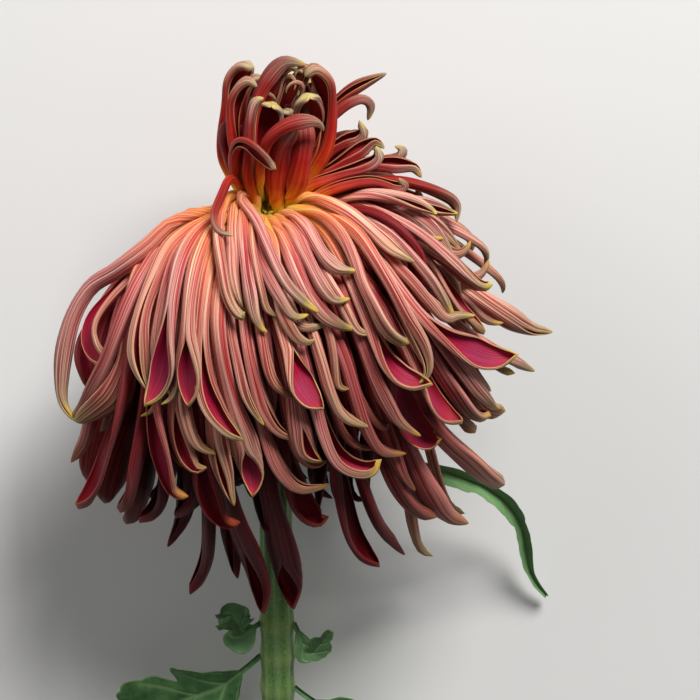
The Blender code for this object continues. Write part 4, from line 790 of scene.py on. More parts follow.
def drapePlan():
    # each hanging floret: from the receptacle over a lifted point to its places on the skirt;
    # its slot faces the viewer most of the way down, and is turned from there; its painted shade comes with
    # it
    found = []
    core, size = np.array(growth["coreCentre"]), np.array(growth["rootSize"])
    share = np.linspace(0, 1, growth["stations"])
    k = int(drapes["slotPlace"] * growth["stations"])
    every = [(name, *way) for name, ways in drapes["routes"].items() for way in ways]
    for name, turn, spoon, wide, start, layer, paintedShade, places in every:
        right, above = np.array(places).T
        ahead = blurred(skirtDepth(right, above)[None], drapes["skirtBlur"])[0]
        knots = seenAt(right, above, ahead - layer * drapes["step"])
        bearing = np.degrees(np.arctan2(knots[0, 1], knots[0, 0]))
        root = core + rootDirections(np.array(drapes["rootAngle"]), np.array(bearing)) * size
        span = np.linalg.norm(knots[0] - root)
        if span > drapes["liftFrom"]:
            middle = (knots[0] + root) / 2 + np.array([0.0, 0.0, drapes["lift"] * span])
            knots = np.concatenate([middle[None], knots])
        route = wayThrough(np.concatenate([root[None], knots]))
        normal = levelled(axisUp, route[0])
        tangent, slot, side = floretFrames(route, normal[None], np.zeros(1), share)
        facing = towardsViewer - tangent[0, k] * (tangent[0, k] @ towardsViewer)
        offset = math.degrees(math.atan2(-(facing @ side[0, k]), facing @ slot[0, k]))
        found.append((name, route[0], normal, offset + turn, spoon, wide, start, paintedShade))
    return [np.array(column) for column in zip(*found)]


def sunkIn(line):
    # how deep each point lies inside the skirt, which deepens the painted shade there: the reach of
    # most florets round the axis at that bearing and height, less its own distance, only well under the eye
    sectors, layers = shading["bearings"], shading["heights"]
    flat = line.reshape(-1, 3)
    radius = np.hypot(flat[:, 0], flat[:, 1])
    bearing = np.degrees(np.arctan2(flat[:, 1], flat[:, 0])) % 360.0
    bearing = (bearing / (360.0 / sectors)).astype(int) % sectors
    height = ((shading["top"] - flat[:, 2]) / shading["heightStep"]).astype(int)
    height = np.clip(height, 0, layers - 1)
    reach = np.zeros((sectors, layers))
    for i in range(sectors):
        for j in range(layers):
            members = radius[(bearing == i) & (height == j)]
            if len(members) > shading["fewest"]:
                reach[i, j] = np.percentile(members, shading["percentile"])
    reach = np.maximum(reach, 0.5 * (np.roll(reach, 1, 0) + np.roll(reach, -1, 0)))
    reach = (np.roll(reach, 1, 0) + 2 * reach + np.roll(reach, -1, 0)) / 4
    depth = reach[bearing, height] - radius
    below = smoothStep(*shading["below"], flat[:, 2])
    return (smoothStep(*shading["depths"], depth) * below).reshape(line.shape[:2])


def evenLine(line, count):
    # the same lines with their points at equal steps along them
    steps = np.linalg.norm(np.diff(line, axis=1), axis=-1)
    along = np.concatenate([np.zeros((len(line), 1)), np.cumsum(steps, axis=1)], axis=1)
    even = np.empty((len(line), count, 3))
    for i in range(len(line)):
        wanted = np.linspace(0.0, along[i, -1], count)
        for axis in range(3):
            even[i, :, axis] = np.interp(wanted, along[i], line[i, :, axis])
    return even


def floretFrames(line, normal, roll, share, twist=0.0):
    # tangents, normals carried along without twist and then turned by the roll and by a
    # twist (in degrees, for each point), and sides
    tangent = unit(np.gradient(line, axis=1))
    upright = np.empty_like(line)
    current = normal
    for k in range(line.shape[1]):
        ahead = (current * tangent[:, k]).sum(-1, keepdims=True)
        current = unit(current - ahead * tangent[:, k])
        upright[:, k] = current
    turn = smoothStep(growth["rollStart"], growth["rollStart"] + growth["rollSpan"], share)
    angle = np.radians(roll)[:, None, None] * turn[None, :, None] + np.radians(twist)
    side = np.cross(upright, tangent)
    slot = np.cos(angle) * upright + np.sin(angle) * side
    return tangent, slot, np.cross(slot, tangent)


def grownLines(outward, tip, sag, arch, roll, hook, level):
    # a cubic from the receptacle to a knee, whose slopes are the arch times the chord, then an
    # arc of the hook's angle; the knee moves until the arc ends at the tip
    root = np.array(growth["coreCentre"]) + outward * np.array(growth["rootSize"])
    flat = outward * np.array([1.0, 1.0, 0.0])
    normal = unit(axisUp - outward * outward[:, 2:3] - 0.001 * flat)
    points = growth["curvePoints"]
    t = np.linspace(0.0, 1.0, points)[None, :, None]
    knee = tip.copy()
    bend = np.radians(hook)[:, None, None]
    for _ in range(growth["tipRounds"]):
        chord = np.linalg.norm(knee - root, axis=-1, keepdims=True)
        onward = (knee - root) / chord
        down = sag[:, None] * -axisUp + (1 - sag[:, None]) * onward
        leave = outward * np.stack([np.ones_like(level), np.ones_like(level), level], -1)
        leave = (unit(leave) * chord * arch[:, None])[:, None]
        arrive = (unit(down) * chord * arch[:, None])[:, None]
        line = ((2 * t ** 3 - 3 * t ** 2 + 1) * root[:, None] + (t ** 3 - 2 * t ** 2 + t) * leave
                + (3 * t ** 2 - 2 * t ** 3) * knee[:, None] + (t ** 3 - t ** 2) * arrive)
        line = evenLine(line, points)
        tangent, slot, _ = floretFrames(line, normal, roll, np.linspace(0, 1, points))
        turn = bend * np.linspace(1 / growth["hookPoints"], 1.0, growth["hookPoints"])[None, :, None]
        ahead, aside = np.sin(turn) * tangent[:, -1:], (1 - np.cos(turn)) * slot[:, -1:]
        line = np.concatenate([line, line[:, -1:] + growth["hookLength"] / bend * (ahead + aside)], axis=1)
        knee = knee + (tip - line[:, -1])
    return evenLine(line, growth["stations"]), normal


def floretWidths(share, spoon, beakStart=quill["beakStart"]):
    # from the root's width to the quill's by the power 1.2 of the way, plus a bell of the
    # spoon's width, drawn in to the beak by the power 1.6
    swell = np.clip(share / quill["start"], 0, 1)
    width = quill["root"] + (quill["width"] - quill["root"]) * swell ** 1.2
    bowl = bell(share, quill["spoonPlace"], quill["spoonSpread"])
    width = width + spoon[:, None] * quill["spoonGain"] * bowl
    beak = np.clip((share - beakStart) / (1 - beakStart), 0, 1) ** 1.6
    return width * (1 - beak) + quill["beak"] * beak


def blurred(values, rounds):
    # each value a quarter of its neighbours' and half of its own, so many times
    for _ in range(rounds):
        inner = 0.25 * values[:, :-2] + 0.5 * values[:, 1:-1] + 0.25 * values[:, 2:]
        end = 0.5 * (values[:, -2:-1] + values[:, -1:])
        values = np.concatenate([values[:, :1], inner, end], axis=1)
    return values


def clearOfAxis(line):
    # out from the axis, to the involucre's radius and its room, or the stem's
    radius = np.linalg.norm(line[..., :2], axis=-1, keepdims=True) + 1e-6
    height = line[..., 2:3]
    cup = growth["involucreRadius"] + growth["involucreRoom"]
    need = np.where(height < growth["coreFloor"] + quill["depth"], cup, 0.0)
    stalk = stem["radius"] + growth["stemRoom"]
    need = np.where(height < growth["involucreBottom"] - quill["width"], stalk, need)
    out = np.clip(need - radius, 0.0, 1.0)
    return np.concatenate([line[..., :2] / radius * out, np.zeros_like(out)], -1)


def clearOfLeaf(line):
    # away from each point of the long leaf's midrib that is nearer than the clearance
    move = np.zeros_like(line)
    for point in leafMidrib(leaves["leafLong"], leafBlade["clearPoints"]):
        away = line - point
        distance = np.linalg.norm(away, axis=-1, keepdims=True) + 1e-6
        missing = np.clip(growth["leafClearance"] - distance, 0.0, 1.0)
        move += away / distance * missing * growth["leafShare"]
    return move


def clearOfFloor(line):
    # up by what is missing under the line
    rise = np.clip(growth["floorLine"] - laidDown(line)[..., 2:3], 0.0, growth["mostRise"])
    return rise * np.array([0.0, math.cos(tilt), math.sin(tilt)])


def pushedApart(line, spoon, size, sideways):
    # each point moves off the points of other florets that are nearer than the sum of their
    # half widths; a floret with its own way moves less across the view than along it
    start = line
    count, stations = line.shape[:2]
    length = np.linalg.norm(np.diff(line, axis=1), axis=-1).sum(1)
    reached = np.linspace(0, 1, stations)[None, :] * length[:, None]
    free = np.clip((reached - growth["heldLength"]) / growth["easingLength"], 0.0, 1.0)[..., None]
    room = floretWidths(np.linspace(0, 1, stations), spoon) * size[:, None] / 2
    rooms = room.ravel()
    owner = np.repeat(np.arange(count), stations)
    for _ in range(growth["pushRounds"]):
        points = line.reshape(-1, 3)
        push = np.zeros_like(points)
        for i in range(count):
            own = line[i]
            low, high = own.min(0) - 2 * quill["width"], own.max(0) + 2 * quill["width"]
            near = np.nonzero(((points > low) & (points < high)).all(-1) & (owner != i))[0]
            gap = own[:, None] - points[near][None]
            distance = np.sqrt((gap ** 2).sum(-1)) + 1e-6
            wanted = room[i][:, None] + rooms[near][None]
            weight = np.clip(wanted - distance, 0.0, None) / distance
            push[i * stations:(i + 1) * stations] = (gap * weight[..., None]).sum(1)
        push = push.reshape(line.shape)
        much = np.linalg.norm(push, axis=-1, keepdims=True) + 1e-9
        push = push * np.minimum(1.0, growth["pushLimit"] / much)
        onward = (push @ towardsViewer)[..., None] * towardsViewer
        push = onward + (push - onward) * sideways[:, None, None]
        line = line + blurred(push * free, growth["pushBlur"]) * growth["pushShare"]
        for clear in (clearOfAxis, clearOfLeaf, clearOfFloor):
            line = line + blurred(clear(line) * free, growth["clearBlur"])
    return start + blurred(line - start, growth["smoothRounds"])


# Stem and leaves, whose lines the florets keep clear of
stem = {
    "radius": 4.0, "ribs": 8, "rib": 0.07, "fineRib": 0.008,
    "nodes": (-73.0, -121.5, -131.5, -141.5, -182.0),       # heights of the leaf joints
    "nodeSwell": 0.08, "nodeLength": 3.0, "neckSwell": 0.06, "neckLength": 5.0, "seatGap": 0.3,
    "scar": 0.35, "scarLength": 1.3, "scarWidth": 0.55, "ringLength": 2.0, "ringAround": 0.35,
    "around": 96, "rows": 220, "capRows": 12, "dish": 0.5,
}
# Each leaf stands for a solid, and grows from a joint of the stem to the left (-1) or right.
# It passes through places seen as the florets' are; half its width, how deep its lobes are
# cut, how many there are, how many degrees it is folded up, and how pale it is.
leaves = {
    "leafLong": {"node": "leaf_long", "at": 0, "side": 1, "seen": (
        (20.0, -62.0, -2.0), (38.0, -65.0, -6.0), (48.0, -67.8, -10.0), (56.0, -72.0, -13.0),
        (60.5, -78.0, -16.0), (62.0, -85.0, -19.0), (63.2, -90.5, -20.0), (66.8, -95.5, -21.0)),
        "half": 3.3, "cut": 0.3, "lobes": 4, "fold": 50, "tint": 1.0},
    "leafSmallLeft": {"node": "leaf_small_left", "at": 1, "side": -1, "seen": (
        (-8.0, -105.5, 3.0), (-11.0, -102.0, 4.0), (-14.5, -102.5, 3.0)),
        "half": 5.5, "cut": 0.62, "lobes": 2, "fold": 25, "tint": 0.3},
    "leafSmallRight": {"node": "leaf_small_right", "at": 1, "side": 1, "seen": (
        (8.0, -110.5, 2.5), (11.0, -108.5, 4.0), (13.5, -105.5, 6.0)),
        "half": 3.2, "cut": 0.55, "lobes": 2, "fold": 25, "tint": 0.5},
    "leafLowLeft": {"node": "leaf_low_left", "at": 2, "side": -1, "seen": (
        (-14.0, -118.5, -1.0), (-25.0, -122.5, -3.5), (-35.0, -129.0, -8.0), (-43.0, -137.0, -12.0)),
        "half": 12.5, "cut": 0.6, "lobes": 3, "fold": 10, "tint": 0.1},
    "leafLowRight": {"node": "leaf_low_right", "at": 3, "side": 1, "seen": (
        (10.0, -123.0, 2.0), (16.0, -126.0, 1.0), (21.0, -136.0, -4.0), (25.0, -148.0, -9.0)),
        "half": 8.5, "cut": 0.6, "lobes": 3, "fold": 15, "tint": 0.2},
}
leafBlade = {
    "seat": -0.2, "stalk": 0.8, "stalkShare": 0.12, "lobeRise": 0.65, "lean": 0.45,
    "wave": 0.06, "edgeWave": 0.05,
    "rows": 110, "columns": 41, "midribPoints": 19, "clearPoints": 16,
    "thickness": 0.42, "tooth": 0.10, "teeth": 3,
    "vein": 0.16, "veinLead": 0.9, "quilting": 0.25, "midribKeel": 0.35, "waves": (9, 23),
    # widths of the veins, where the side ones start and end, and how wide a quilted leaf is
    "midribWidth": 0.06, "veinWidth": 0.075, "veinFrom": (0.1, 0.2), "veinTo": (0.75, 1.0),
    "quiltedFrom": (1.0, 4.0), "toothless": 0.25,
}


def stemRadius(height):
    # the radius, times one and a bell at each node and a swelling neck under the bloom
    swell = np.zeros_like(height)
    for node in stem["nodes"]:
        swell = swell + stem["nodeSwell"] * bell(height, node, stem["nodeLength"])
    swell = swell + stem["neckSwell"] * np.exp((height - growth["involucreBottom"]) / stem["neckLength"])
    return stem["radius"] * (1.0 + swell)


def leafMidrib(leaf, count):
    # a smooth curve through the leaf's joint on the stem and the places that show
    height = stem["nodes"][leaf["at"]]
    skin = float(stemRadius(np.array(height))) * (1 + stem["rib"]) + leafBlade["seat"]
    shown = seenAt(*np.array(leaf["seen"]).T)
    knots = np.concatenate([np.array([[leaf["side"] * skin, 0.0, height]]), shown])
    points = growth["knotPoints"] * (len(knots) - 1) + 1
    return evenLine(splineThrough(knots[None], points), count)[0]


def splineThrough(knots, count):
    # cubics between neighbouring knots, whose slopes are half the step past each knot
    spans = knots.shape[1] - 1
    first, last = 2 * knots[:, :1] - knots[:, 1:2], 2 * knots[:, -1:] - knots[:, -2:-1]
    knots = np.concatenate([first, knots, last], axis=1)
    return splineAt(knots, np.linspace(0, spans, count))


def splineAt(knots, t):
    # the cubic at t, whole numbers being the knots after the first
    k = np.minimum(t.astype(int), knots.shape[1] - 4)
    x = (t - k)[None, :, None]
    a, b, c, d = knots[:, k], knots[:, k + 1], knots[:, k + 2], knots[:, k + 3]
    return 0.5 * (2 * b + (c - a) * x + (2 * a - 5 * b + 4 * c - d) * x ** 2
                  + (3 * b - a - 3 * c + d) * x ** 3)


floretShape = {
    "fine": (39, 19), "coarse": (27, 12),       # rows and points across of the two meshes
    "crowding": 1.4,                # how much closer the rows stand towards the tip
    "closed": 181.5,                # degrees from the keel to a rim, where the quill is closed
    "widest": 105.0,                # most that a rim moves back from there
    "spoonGapes": (46.0, 40.0),     # degrees that a spoon and a blade are wider open than a quill
    "spoonFrom": (0.5, 1.3), "bladeFrom": (1.3, 1.9),       # what spoon counts as each
    "spoonEarlier": 0.16,           # how much sooner its slot starts
    "slotEnd": 0.985, "slotWidest": 0.62, "slotCloses": (0.7, 0.3),
    "sizes": (0.78, 1.0),           # widths of the florets, as shares of the quill's
    "tuftWidth": 1.22,              # how much broader the tuft's are
    "wall": 0.34, "wallShare": 0.4, # how thick it is, and the most of half its width
    "deepness": 0.58, "lift": 0.1,
    "ribs": 4, "ribDepth": 0.11, "ribsFrom": (0.04, 0.16), "seam": 0.03, "seamGape": 12.0,
    "roundFrom": 0.972, "roundLeast": 0.02,
    "beakStart": (0.76, 0.93), "beakSpoon": (0.4, 0.9),     # for hooked florets and spoons
    "curlFrom": 0.86, "curl": 1.5,  # where a tip curls past its line, and how far
    "ripple": 0.22,                 # how far a floret waves from its line
    "pulse": 0.07,                  # how much its width varies along it
    "twist": 9.0,                   # how far its slot wanders, in degrees
    "waves": (8.0, 9.0, 15.0),      # radians of twist, ripple and pulse along a floret
    "rippleFrom": (0.1, 0.3), "curlPhase": (0.3, 1.2),
    "turnFrom": (0.08, 0.30),       # where a slot turns towards its own facing
    "lowest": 0.05,                 # nothing comes nearer the floor
    "heartColours": 0.8, "budColours": 0.12,    # share of a floret's colours that they have
}


def floretRun(line, normal, roll, share, tone):
    # a smooth path through each line, with sines along it that move it sideways and turn its
    # slot, which also turns to its facing; the tip curls by the square of the way past curlFrom
    ends = [2 * line[:, :1] - line[:, 1:2], line, 2 * line[:, -1:] - line[:, -2:-1]]
    path = splineAt(np.concatenate(ends, axis=1), share * (line.shape[1] - 1))
    phase, on = tone["phase"][:, None, None], share[None, :, None]
    twists, ripples, _ = floretShape["waves"]
    wander = floretShape["twist"] * np.sin(on * twists + phase * 9.0)
    wander = wander + tone["facing"][:, None, None] * smoothStep(*floretShape["turnFrom"], on)
    _, slot, side = floretFrames(path, normal, roll, share, wander)
    wave = np.sin(on * ripples + phase * 6.3) * smoothStep(*floretShape["rippleFrom"], on)
    curl = np.clip((share - floretShape["curlFrom"]) / (1 - floretShape["curlFrom"]), 0, 1) ** 2
    least, more = floretShape["curlPhase"]
    curl = curl[None, :, None] * floretShape["curl"] * (least + more * phase) * tone["size"][:, None, None]
    return path + side * wave * floretShape["ripple"] + slot * curl, slot, side


def floretGape(spoon, share, tone):
    # degrees that a rim stands back: its floret's gape, times a rise from the slot's start to
    # its widest place by the power 0.85 of the way, and a quarter round at its end
    begin = tone["openFrom"][:, None]
    reached = np.clip((share[None] - begin) / (floretShape["slotEnd"] - begin), 0, 1)
    grown = np.clip(reached / floretShape["slotWidest"], 0, 1) ** 0.85
    closes, closing = floretShape["slotCloses"]
    shut = np.sqrt(1 - np.clip((reached - closes) / closing, 0, 1) ** 2)
    ladle, blade = floretShape["spoonGapes"]
    gape = tone["gape"] + ladle * smoothStep(*floretShape["spoonFrom"], spoon)
    gape = gape + blade * smoothStep(*floretShape["bladeFrom"], spoon)
    return np.minimum(gape, floretShape["widest"])[:, None] * grown * shut


def floretGrid(line, normal, roll, spoon, tone, detail):
    # carried along each line, a C of angle t from the keel: side * a sin t - slot * b cos t,
    # where a is half the width and b the depth; the slot starts as a point, is widest well
    # on and closes in a round; soft ribs run along the outside, the inner skin lies a
    # wall's thickness inside, and the tip is rounded
    rows, half = floretShape[detail]
    share = 1.0 - (1.0 - np.linspace(0.0, 1.0, rows)) ** floretShape["crowding"]
    path, slot, side = floretRun(line, normal, roll, share, tone)
    first, last = floretShape["beakStart"]
    beakStart = first + (last - first) * smoothStep(*floretShape["beakSpoon"], spoon)[:, None]
    size = tone["size"][:, None]
    width = size * floretWidths(share[None], spoon, beakStart)
    pulse = np.sin(share * floretShape["waves"][2] + tone["phase"][:, None] * 9.0)
    width = width * (1 + floretShape["pulse"] * pulse)
    rounding = np.clip((share - floretShape["roundFrom"]) / (1 - floretShape["roundFrom"]), 0, 1)
    rounding = np.sqrt(np.clip(1 - rounding ** 2, floretShape["roundLeast"], 1))
    a = width / 2 * rounding
    b = np.minimum(width, size * quill["depth"]) * floretShape["deepness"] * rounding
    gape = floretGape(spoon, share, tone)
    v = np.linspace(-1.0, 1.0, half)
    angle = v[None, None] * np.radians(floretShape["closed"] - gape)[..., None]
    ribs = 0.5 - 0.5 * np.cos(floretShape["ribs"] * angle)
    ribs = ribs * smoothStep(*floretShape["ribsFrom"], share)[None, :, None]
    seam = floretShape["seam"] * np.abs(v) ** 12 * np.exp(-gape[..., None] / floretShape["seamGape"])
    ridge = 1.0 - floretShape["ribDepth"] * ribs - seam
    wall = np.minimum(floretShape["wall"], floretShape["wallShare"] * a)[..., None]
    skins = []
    for radiusA, radiusB, angles in ((a[..., None] * ridge, b[..., None] * ridge, angle),
                                     (a[..., None] - wall, b[..., None] - wall, angle[..., ::-1])):
        out = (np.sin(angles) * radiusA)[..., None] * side[:, :, None]
        deep = (np.cos(angles) * radiusB - floretShape["lift"])[..., None] * slot[:, :, None]
        skins.append(path[:, :, None] + out - deep)
    points = laidDown(np.concatenate(skins, axis=2))
    points[..., 2] = np.maximum(points[..., 2], floretShape["lowest"])

    # what the petal material reads, at each point
    shape = (len(line), rows, 2 * half)
    places = share * (line.shape[1] - 1)
    k = np.minimum(places.astype(int), line.shape[1] - 2)
    sunk = tone["sunk"][:, k] + (tone["sunk"][:, k + 1] - tone["sunk"][:, k]) * (places - k)
    values = {
        "along": share[None, :, None],
        "aside": np.concatenate([v, v[::-1]])[None, None],
        "inside": np.concatenate([np.zeros(half), np.ones(half)])[None, None],
        "tint": tone["tint"][:, None, None],
        # painted shade: the floret's own, and more the deeper it lies in the skirt
        "paintedShade": np.clip(tone["paintedShade"][:, None] + sunk, 0.0, 1.0)[..., None],
        "gape": gape[..., None] / floretShape["widest"],
        "fresh": tone["fresh"][:, None, None],
        "groove": np.concatenate([ribs, np.zeros(ribs.shape)], axis=2),
    }
    values = {key: np.broadcast_to(value, shape) for key, value in values.items()}
    return points.reshape(-1, 3), wallFaces(rows, half, len(line)), values


petal = petalMaterial()
print("growing the florets")
row, outward, tip, sag, arch, roll, hook, spoon = floretPlan()
level = np.where(np.isin(row, lowRows), growth["level"], 1.0)
line, normal = grownLines(outward, tip, sag, arch, roll, hook, level)
routed, routes, towards, facing, routeSpoon, routeSize = routePlan()
routeSize = routeSize * np.where(routed == "tuft", floretShape["tuftWidth"], 1.0)
# the hanging florets' lines and looks, their painted shade among them
hanging, ways, upwards, faced, drapeSpoon, drapeSize, drapeStart, drapePaintedShade = drapePlan()
dice = np.random.default_rng(growth["lookSeed"])
broad = np.array([broadRows.get(name, 1.0) for name in row])
size = broad * dice.uniform(*floretShape["sizes"], len(row))

# those that the rules place, the upright ones and the hanging ones, in that order
grown, placed = len(row), len(routed) + len(hanging)
styled = np.concatenate([row, routed])
row = np.concatenate([styled, hanging])
roll = np.concatenate([roll, np.zeros(placed)])
spoon = np.concatenate([spoon, routeSpoon, drapeSpoon])
size = np.concatenate([size, routeSize, drapeSize])
normal = np.concatenate([normal, towards, upwards])
sideways = np.concatenate([np.ones(grown), np.full(placed, drapes["sideways"])])
line = pushedApart(np.concatenate([line, routes, ways]), spoon, size, sideways)

# a hanging floret's slot and painted shade come with its way, and the others' from their rows
rows = {**handRows, **ruleRows, **innerRows, **lateRows, **routeRows}
begin, finishing = np.array([rowLooks[name][0] for name in styled]).T
openFrom = dice.uniform(begin, finishing)
openFrom = openFrom - floretShape["spoonEarlier"] * np.clip(spoon[:len(styled)], 0, 1)
gape = np.array([rowLooks[name][1] for name in styled])
gape = gape * dice.uniform(*growth["gapeSpread"], len(styled))
# each row's painted shade, a little more or less for each floret
paintedShade = np.array([rows[name]["paintedShade"] for name in styled])
paintedShade = paintedShade + dice.uniform(*growth["paintedShadeSpread"], len(styled))
tone = {
    "tint": dice.uniform(0, 1, len(row)),
    "phase": dice.uniform(0, 1, len(row)),
    "openFrom": np.concatenate([openFrom, drapeStart]),
    "paintedShade": np.concatenate([paintedShade, drapePaintedShade]),
    "gape": np.concatenate([gape, np.full(len(hanging), drapes["gape"])]),
    "facing": np.concatenate([np.zeros(grown), facing, faced]),
    "fresh": np.isin(row, freshRows) * 1.0,
    "size": size,
    "sunk": sunkIn(line),
}
groups = {                          # each piece's mesh and rows
    "floretsLeft": ("fine", "drapesLeft"),
    "floretsFront": ("fine", "drapesFront"),
    "floretsLow": ("fine", "drapesLow"),
    "floretsTuft": ("fine", "tuft", "rayed", "folded"),
    "floretsSides": ("coarse", "right", "threads"),
    "floretsBack": ("coarse", "crownBack", "lowBack", "middleBack", "skirtBack", "hemBack"),
    "floretsFill": ("coarse", "fillTop", "fillMiddle", "fillLow"),
    "floretsInner": ("coarse", "innerFront", "innerBack", "hemFront", "fillRight", "fillLeft"),
    "floretsHeart": ("coarse", "tuftBack"),
    "floretsCurls": ("coarse", "curls"),
}
for name, (detail, *members) in groups.items():
    chosen = np.isin(row, members)
    look = {key: values[chosen] for key, values in tone.items()}
    parts = [part[chosen] for part in (line, normal, roll, spoon)]
    points, faces, values = floretGrid(*parts, look, detail)
    if name == "floretsHeart":
        values["along"] = values["along"] * floretShape["heartColours"]
    finish(meshObject(name, points, faces, petal, values), "floret", "bloom")
    print(name, chosen.sum(), "florets", 2 * len(faces), "triangles")

# The receptacle, its buds and the involucre
heart = {
    # radius and height of the receptacle's dome, from its top out and down
    "dome": ((0.0, -2.4), (2.6, -2.7), (4.4, -3.8), (5.8, -6.0), (7.4, -8.4), (8.6, -9.6)),
    "domeRows": 40, "domeFloor": -9.4,
    "domeColours": 0.05,            # share of a floret's colours that it has
    "buds": 30, "budLength": (1.0, 2.0), "budSize": 0.34, "budDepth": 0.8, "budPoints": 12,
    "budSpread": 0.9,               # angle from the axis to the outermost, in radians
    "budOpen": 0.6, "budGape": 40.0, "budRoot": 0.95, "budLean": 0.6, "budBow": 0.25,
    "turn": math.pi * (3 - math.sqrt(5)),       # from each bud to the next, round the axis
}
involucre = {
    # height and radius of the cup, from the stem up
    "cup": ((-17.0, 4.3), (-16.4, 5.6), (-14.8, 7.6), (-12.6, 8.9), (-10.6, 9.3), (-9.6, 9.1), (-9.2, 8.0)),
    "cupRows": 30, "around": 72, "cupColours": 0.3,
    # bracts in a tier, height of its foot, length, width, how far it stands off
    "tiers": ((11, -17.2, 5.0, 3.6, 0.10), (13, -16.0, 6.2, 3.8, 0.35), (15, -14.6, 7.4, 3.6, 0.15)),
    "flare": 1.3, "wall": 0.28, "keel": 0.25, "rows": 22, "columns": 15,
    "seed": 17, "bearings": (-0.12, 0.12), "lengths": (0.88, 1.12), "flares": (0.5, 1.3),
    "roughness": 0.55, "specular": 0.3, "bump": (0.5, 0.0002),
    "green": ((0.0, (0.16, 0.24, 0.07)), (0.6, (0.09, 0.17, 0.04)), (1.0, (0.10, 0.12, 0.04))),
    "veins": (0.20, 0.28, 0.10), "margin": (0.36, 0.26, 0.13),
    "grain": (9.0, 2.0, 41.0),      # of the veins, across, along and from bract to bract
    "veinEdge": (0.4, 0.65, 0.0, 0.6), "marginAside": (0.72, 0.95), "marginAlong": (0.86, 1.0),
    "marginShare": 0.85,
}


def turned(profile, rows, around):
    # a smooth curve through (radius, height) points, carried round the axis
    knots = np.array([[radius, height, 0.0] for radius, height in profile])
    curve = splineThrough(knots[None], rows)[0]
    angle = np.linspace(0.0, 2 * math.pi, around, endpoint=False)
    radius = np.maximum(curve[:, :1], 0.0)
    height = np.broadcast_to(curve[:, 1:2], (rows, around))
    return np.stack([radius * np.cos(angle), radius * np.sin(angle), height], -1)


def middlePoint(height, around):
    # a ring that closes a turned shape at a point on the axis
    return np.broadcast_to([0.0, 0.0, height], (1, around, 3))


def bractMaterial():
    # green from foot to tip, with pale veins and a dry brown margin
    made, tree, shader = newMaterial("bract", involucre["roughness"], involucre["specular"])
    along, aside, tint = valuesOf(tree, "along", "aside", "tint")
    places = [times(tree, value, much) for value, much in zip((aside, along, tint), involucre["grain"])]
    vein = noiseOf(tree, placeOf(tree, *places), 1.0, 4.0, 0.6)
    green = rampOf(tree, along, involucre["green"])
    green = mixOf(tree, rangeOf(tree, vein, *involucre["veinEdge"]), green, involucre["veins"])
    edge = rangeOf(tree, mathOf(tree, "ABSOLUTE", aside), *involucre["marginAside"])
    edge = mathOf(tree, "MAXIMUM", edge, rangeOf(tree, along, *involucre["marginAlong"]))
    colour = mixOf(tree, times(tree, edge, involucre["marginShare"]), green, involucre["margin"])
    paint(tree, shader, colour, vein, involucre["bump"])
    return made


def cupRadius(height):
    # the cup's radius between the heights of its profile
    heights, radii = np.array(involucre["cup"]).T
    return np.interp(height, heights, radii)


def bractGrid():
    # each bract leans on the cup: its radius plus a stand-off, a flare that grows with the cube
    # of the way t to the tip and a keel of (1 - |v|) sin(pi t); its half width is
    # width / 2 * sin(pi s^0.8)^0.6, where s = 0.93 t + 0.06; two skins
    draw = np.random.default_rng(involucre["seed"])
    rows, half = involucre["rows"], involucre["columns"]
    t = np.linspace(0.0, 1.0, rows)[None, :, None]
    v = np.linspace(-1.0, 1.0, half)
    v = np.concatenate([v, v[::-1]])[None, None]
    skin = np.concatenate([np.full(half, involucre["wall"]), np.zeros(half)])[None, None]
    grids = []
    values = {"along": [], "aside": [], "tint": []}
    for number, (count, foot, length, width, off) in enumerate(involucre["tiers"]):
        place = np.arange(count) + 0.5 * (number % 2) + draw.uniform(*involucre["bearings"], count)
        bearing = place * 2 * math.pi / count
        height = foot + length * draw.uniform(*involucre["lengths"], count)[:, None, None] * t
        lens = np.sin(math.pi * np.clip(t * 0.93 + 0.06, 0, 1) ** 0.8) ** 0.6
        flare = involucre["flare"] * draw.uniform(*involucre["flares"], count)[:, None, None] * t ** 3
        keel = involucre["keel"] * (1 - np.abs(v)) * np.sin(math.pi * t)
        radius = cupRadius(height) + off + flare + skin + keel
        angle = bearing[:, None, None] + v * (width / 2 * lens + 0.05) / radius
        height = np.broadcast_to(height, radius.shape)
        grids.append(np.stack([radius * np.cos(angle), radius * np.sin(angle), height], -1))
        tint = draw.uniform(0, 1, count)[:, None, None]
        for key, value in (("along", t), ("aside", v), ("tint", tint)):
            values[key].append(np.broadcast_to(value, radius.shape).reshape(-1))
    count = sum(len(grid) for grid in grids)
    points = laidDown(np.concatenate([grid.reshape(-1, 3) for grid in grids]))
    values = {key: np.concatenate(value) for key, value in values.items()}
    return points, wallFaces(rows, half, count), values


bract = bractMaterial()
points, faces, values = bractGrid()
finish(meshObject("involucreBracts", points, faces, bract, values), "bract", "involucre")

around = involucre["around"]
cup = turned([(radius, height) for height, radius in involucre["cup"]], involucre["cupRows"], around)
foot, brim = involucre["cup"][0][0], involucre["cup"][-1][0]
cup = np.concatenate([middlePoint(foot, around), cup, middlePoint(brim, around)])
shape = cup.shape[:2]
values = {"aside": np.zeros(shape), "tint": np.zeros(shape)}
values["along"] = np.full(shape, involucre["cupColours"])
faces = ringFaces(len(cup), around, 1)
made = meshObject("involucreCup", laidDown(cup).reshape(-1, 3), faces, bract, values)
finish(weld(made), "bract", "involucre")

dome = turned(heart["dome"], heart["domeRows"], around)
dome = np.concatenate([dome, middlePoint(heart["domeFloor"], around)])
shape = dome.shape[:2]
values = {key: np.zeros(shape) for key in ("aside", "inside", "paintedShade", "gape", "fresh", "groove")}
values["along"] = np.broadcast_to(np.linspace(0.0, heart["domeColours"], len(dome))[:, None], shape)
values["tint"] = np.full(shape, 0.5)
faces = ringFaces(len(dome), around, 1)[:, ::-1]
made = meshObject("receptacle", laidDown(dome).reshape(-1, 3), faces, petal, values)
finish(weld(made), "floret", "bloom")


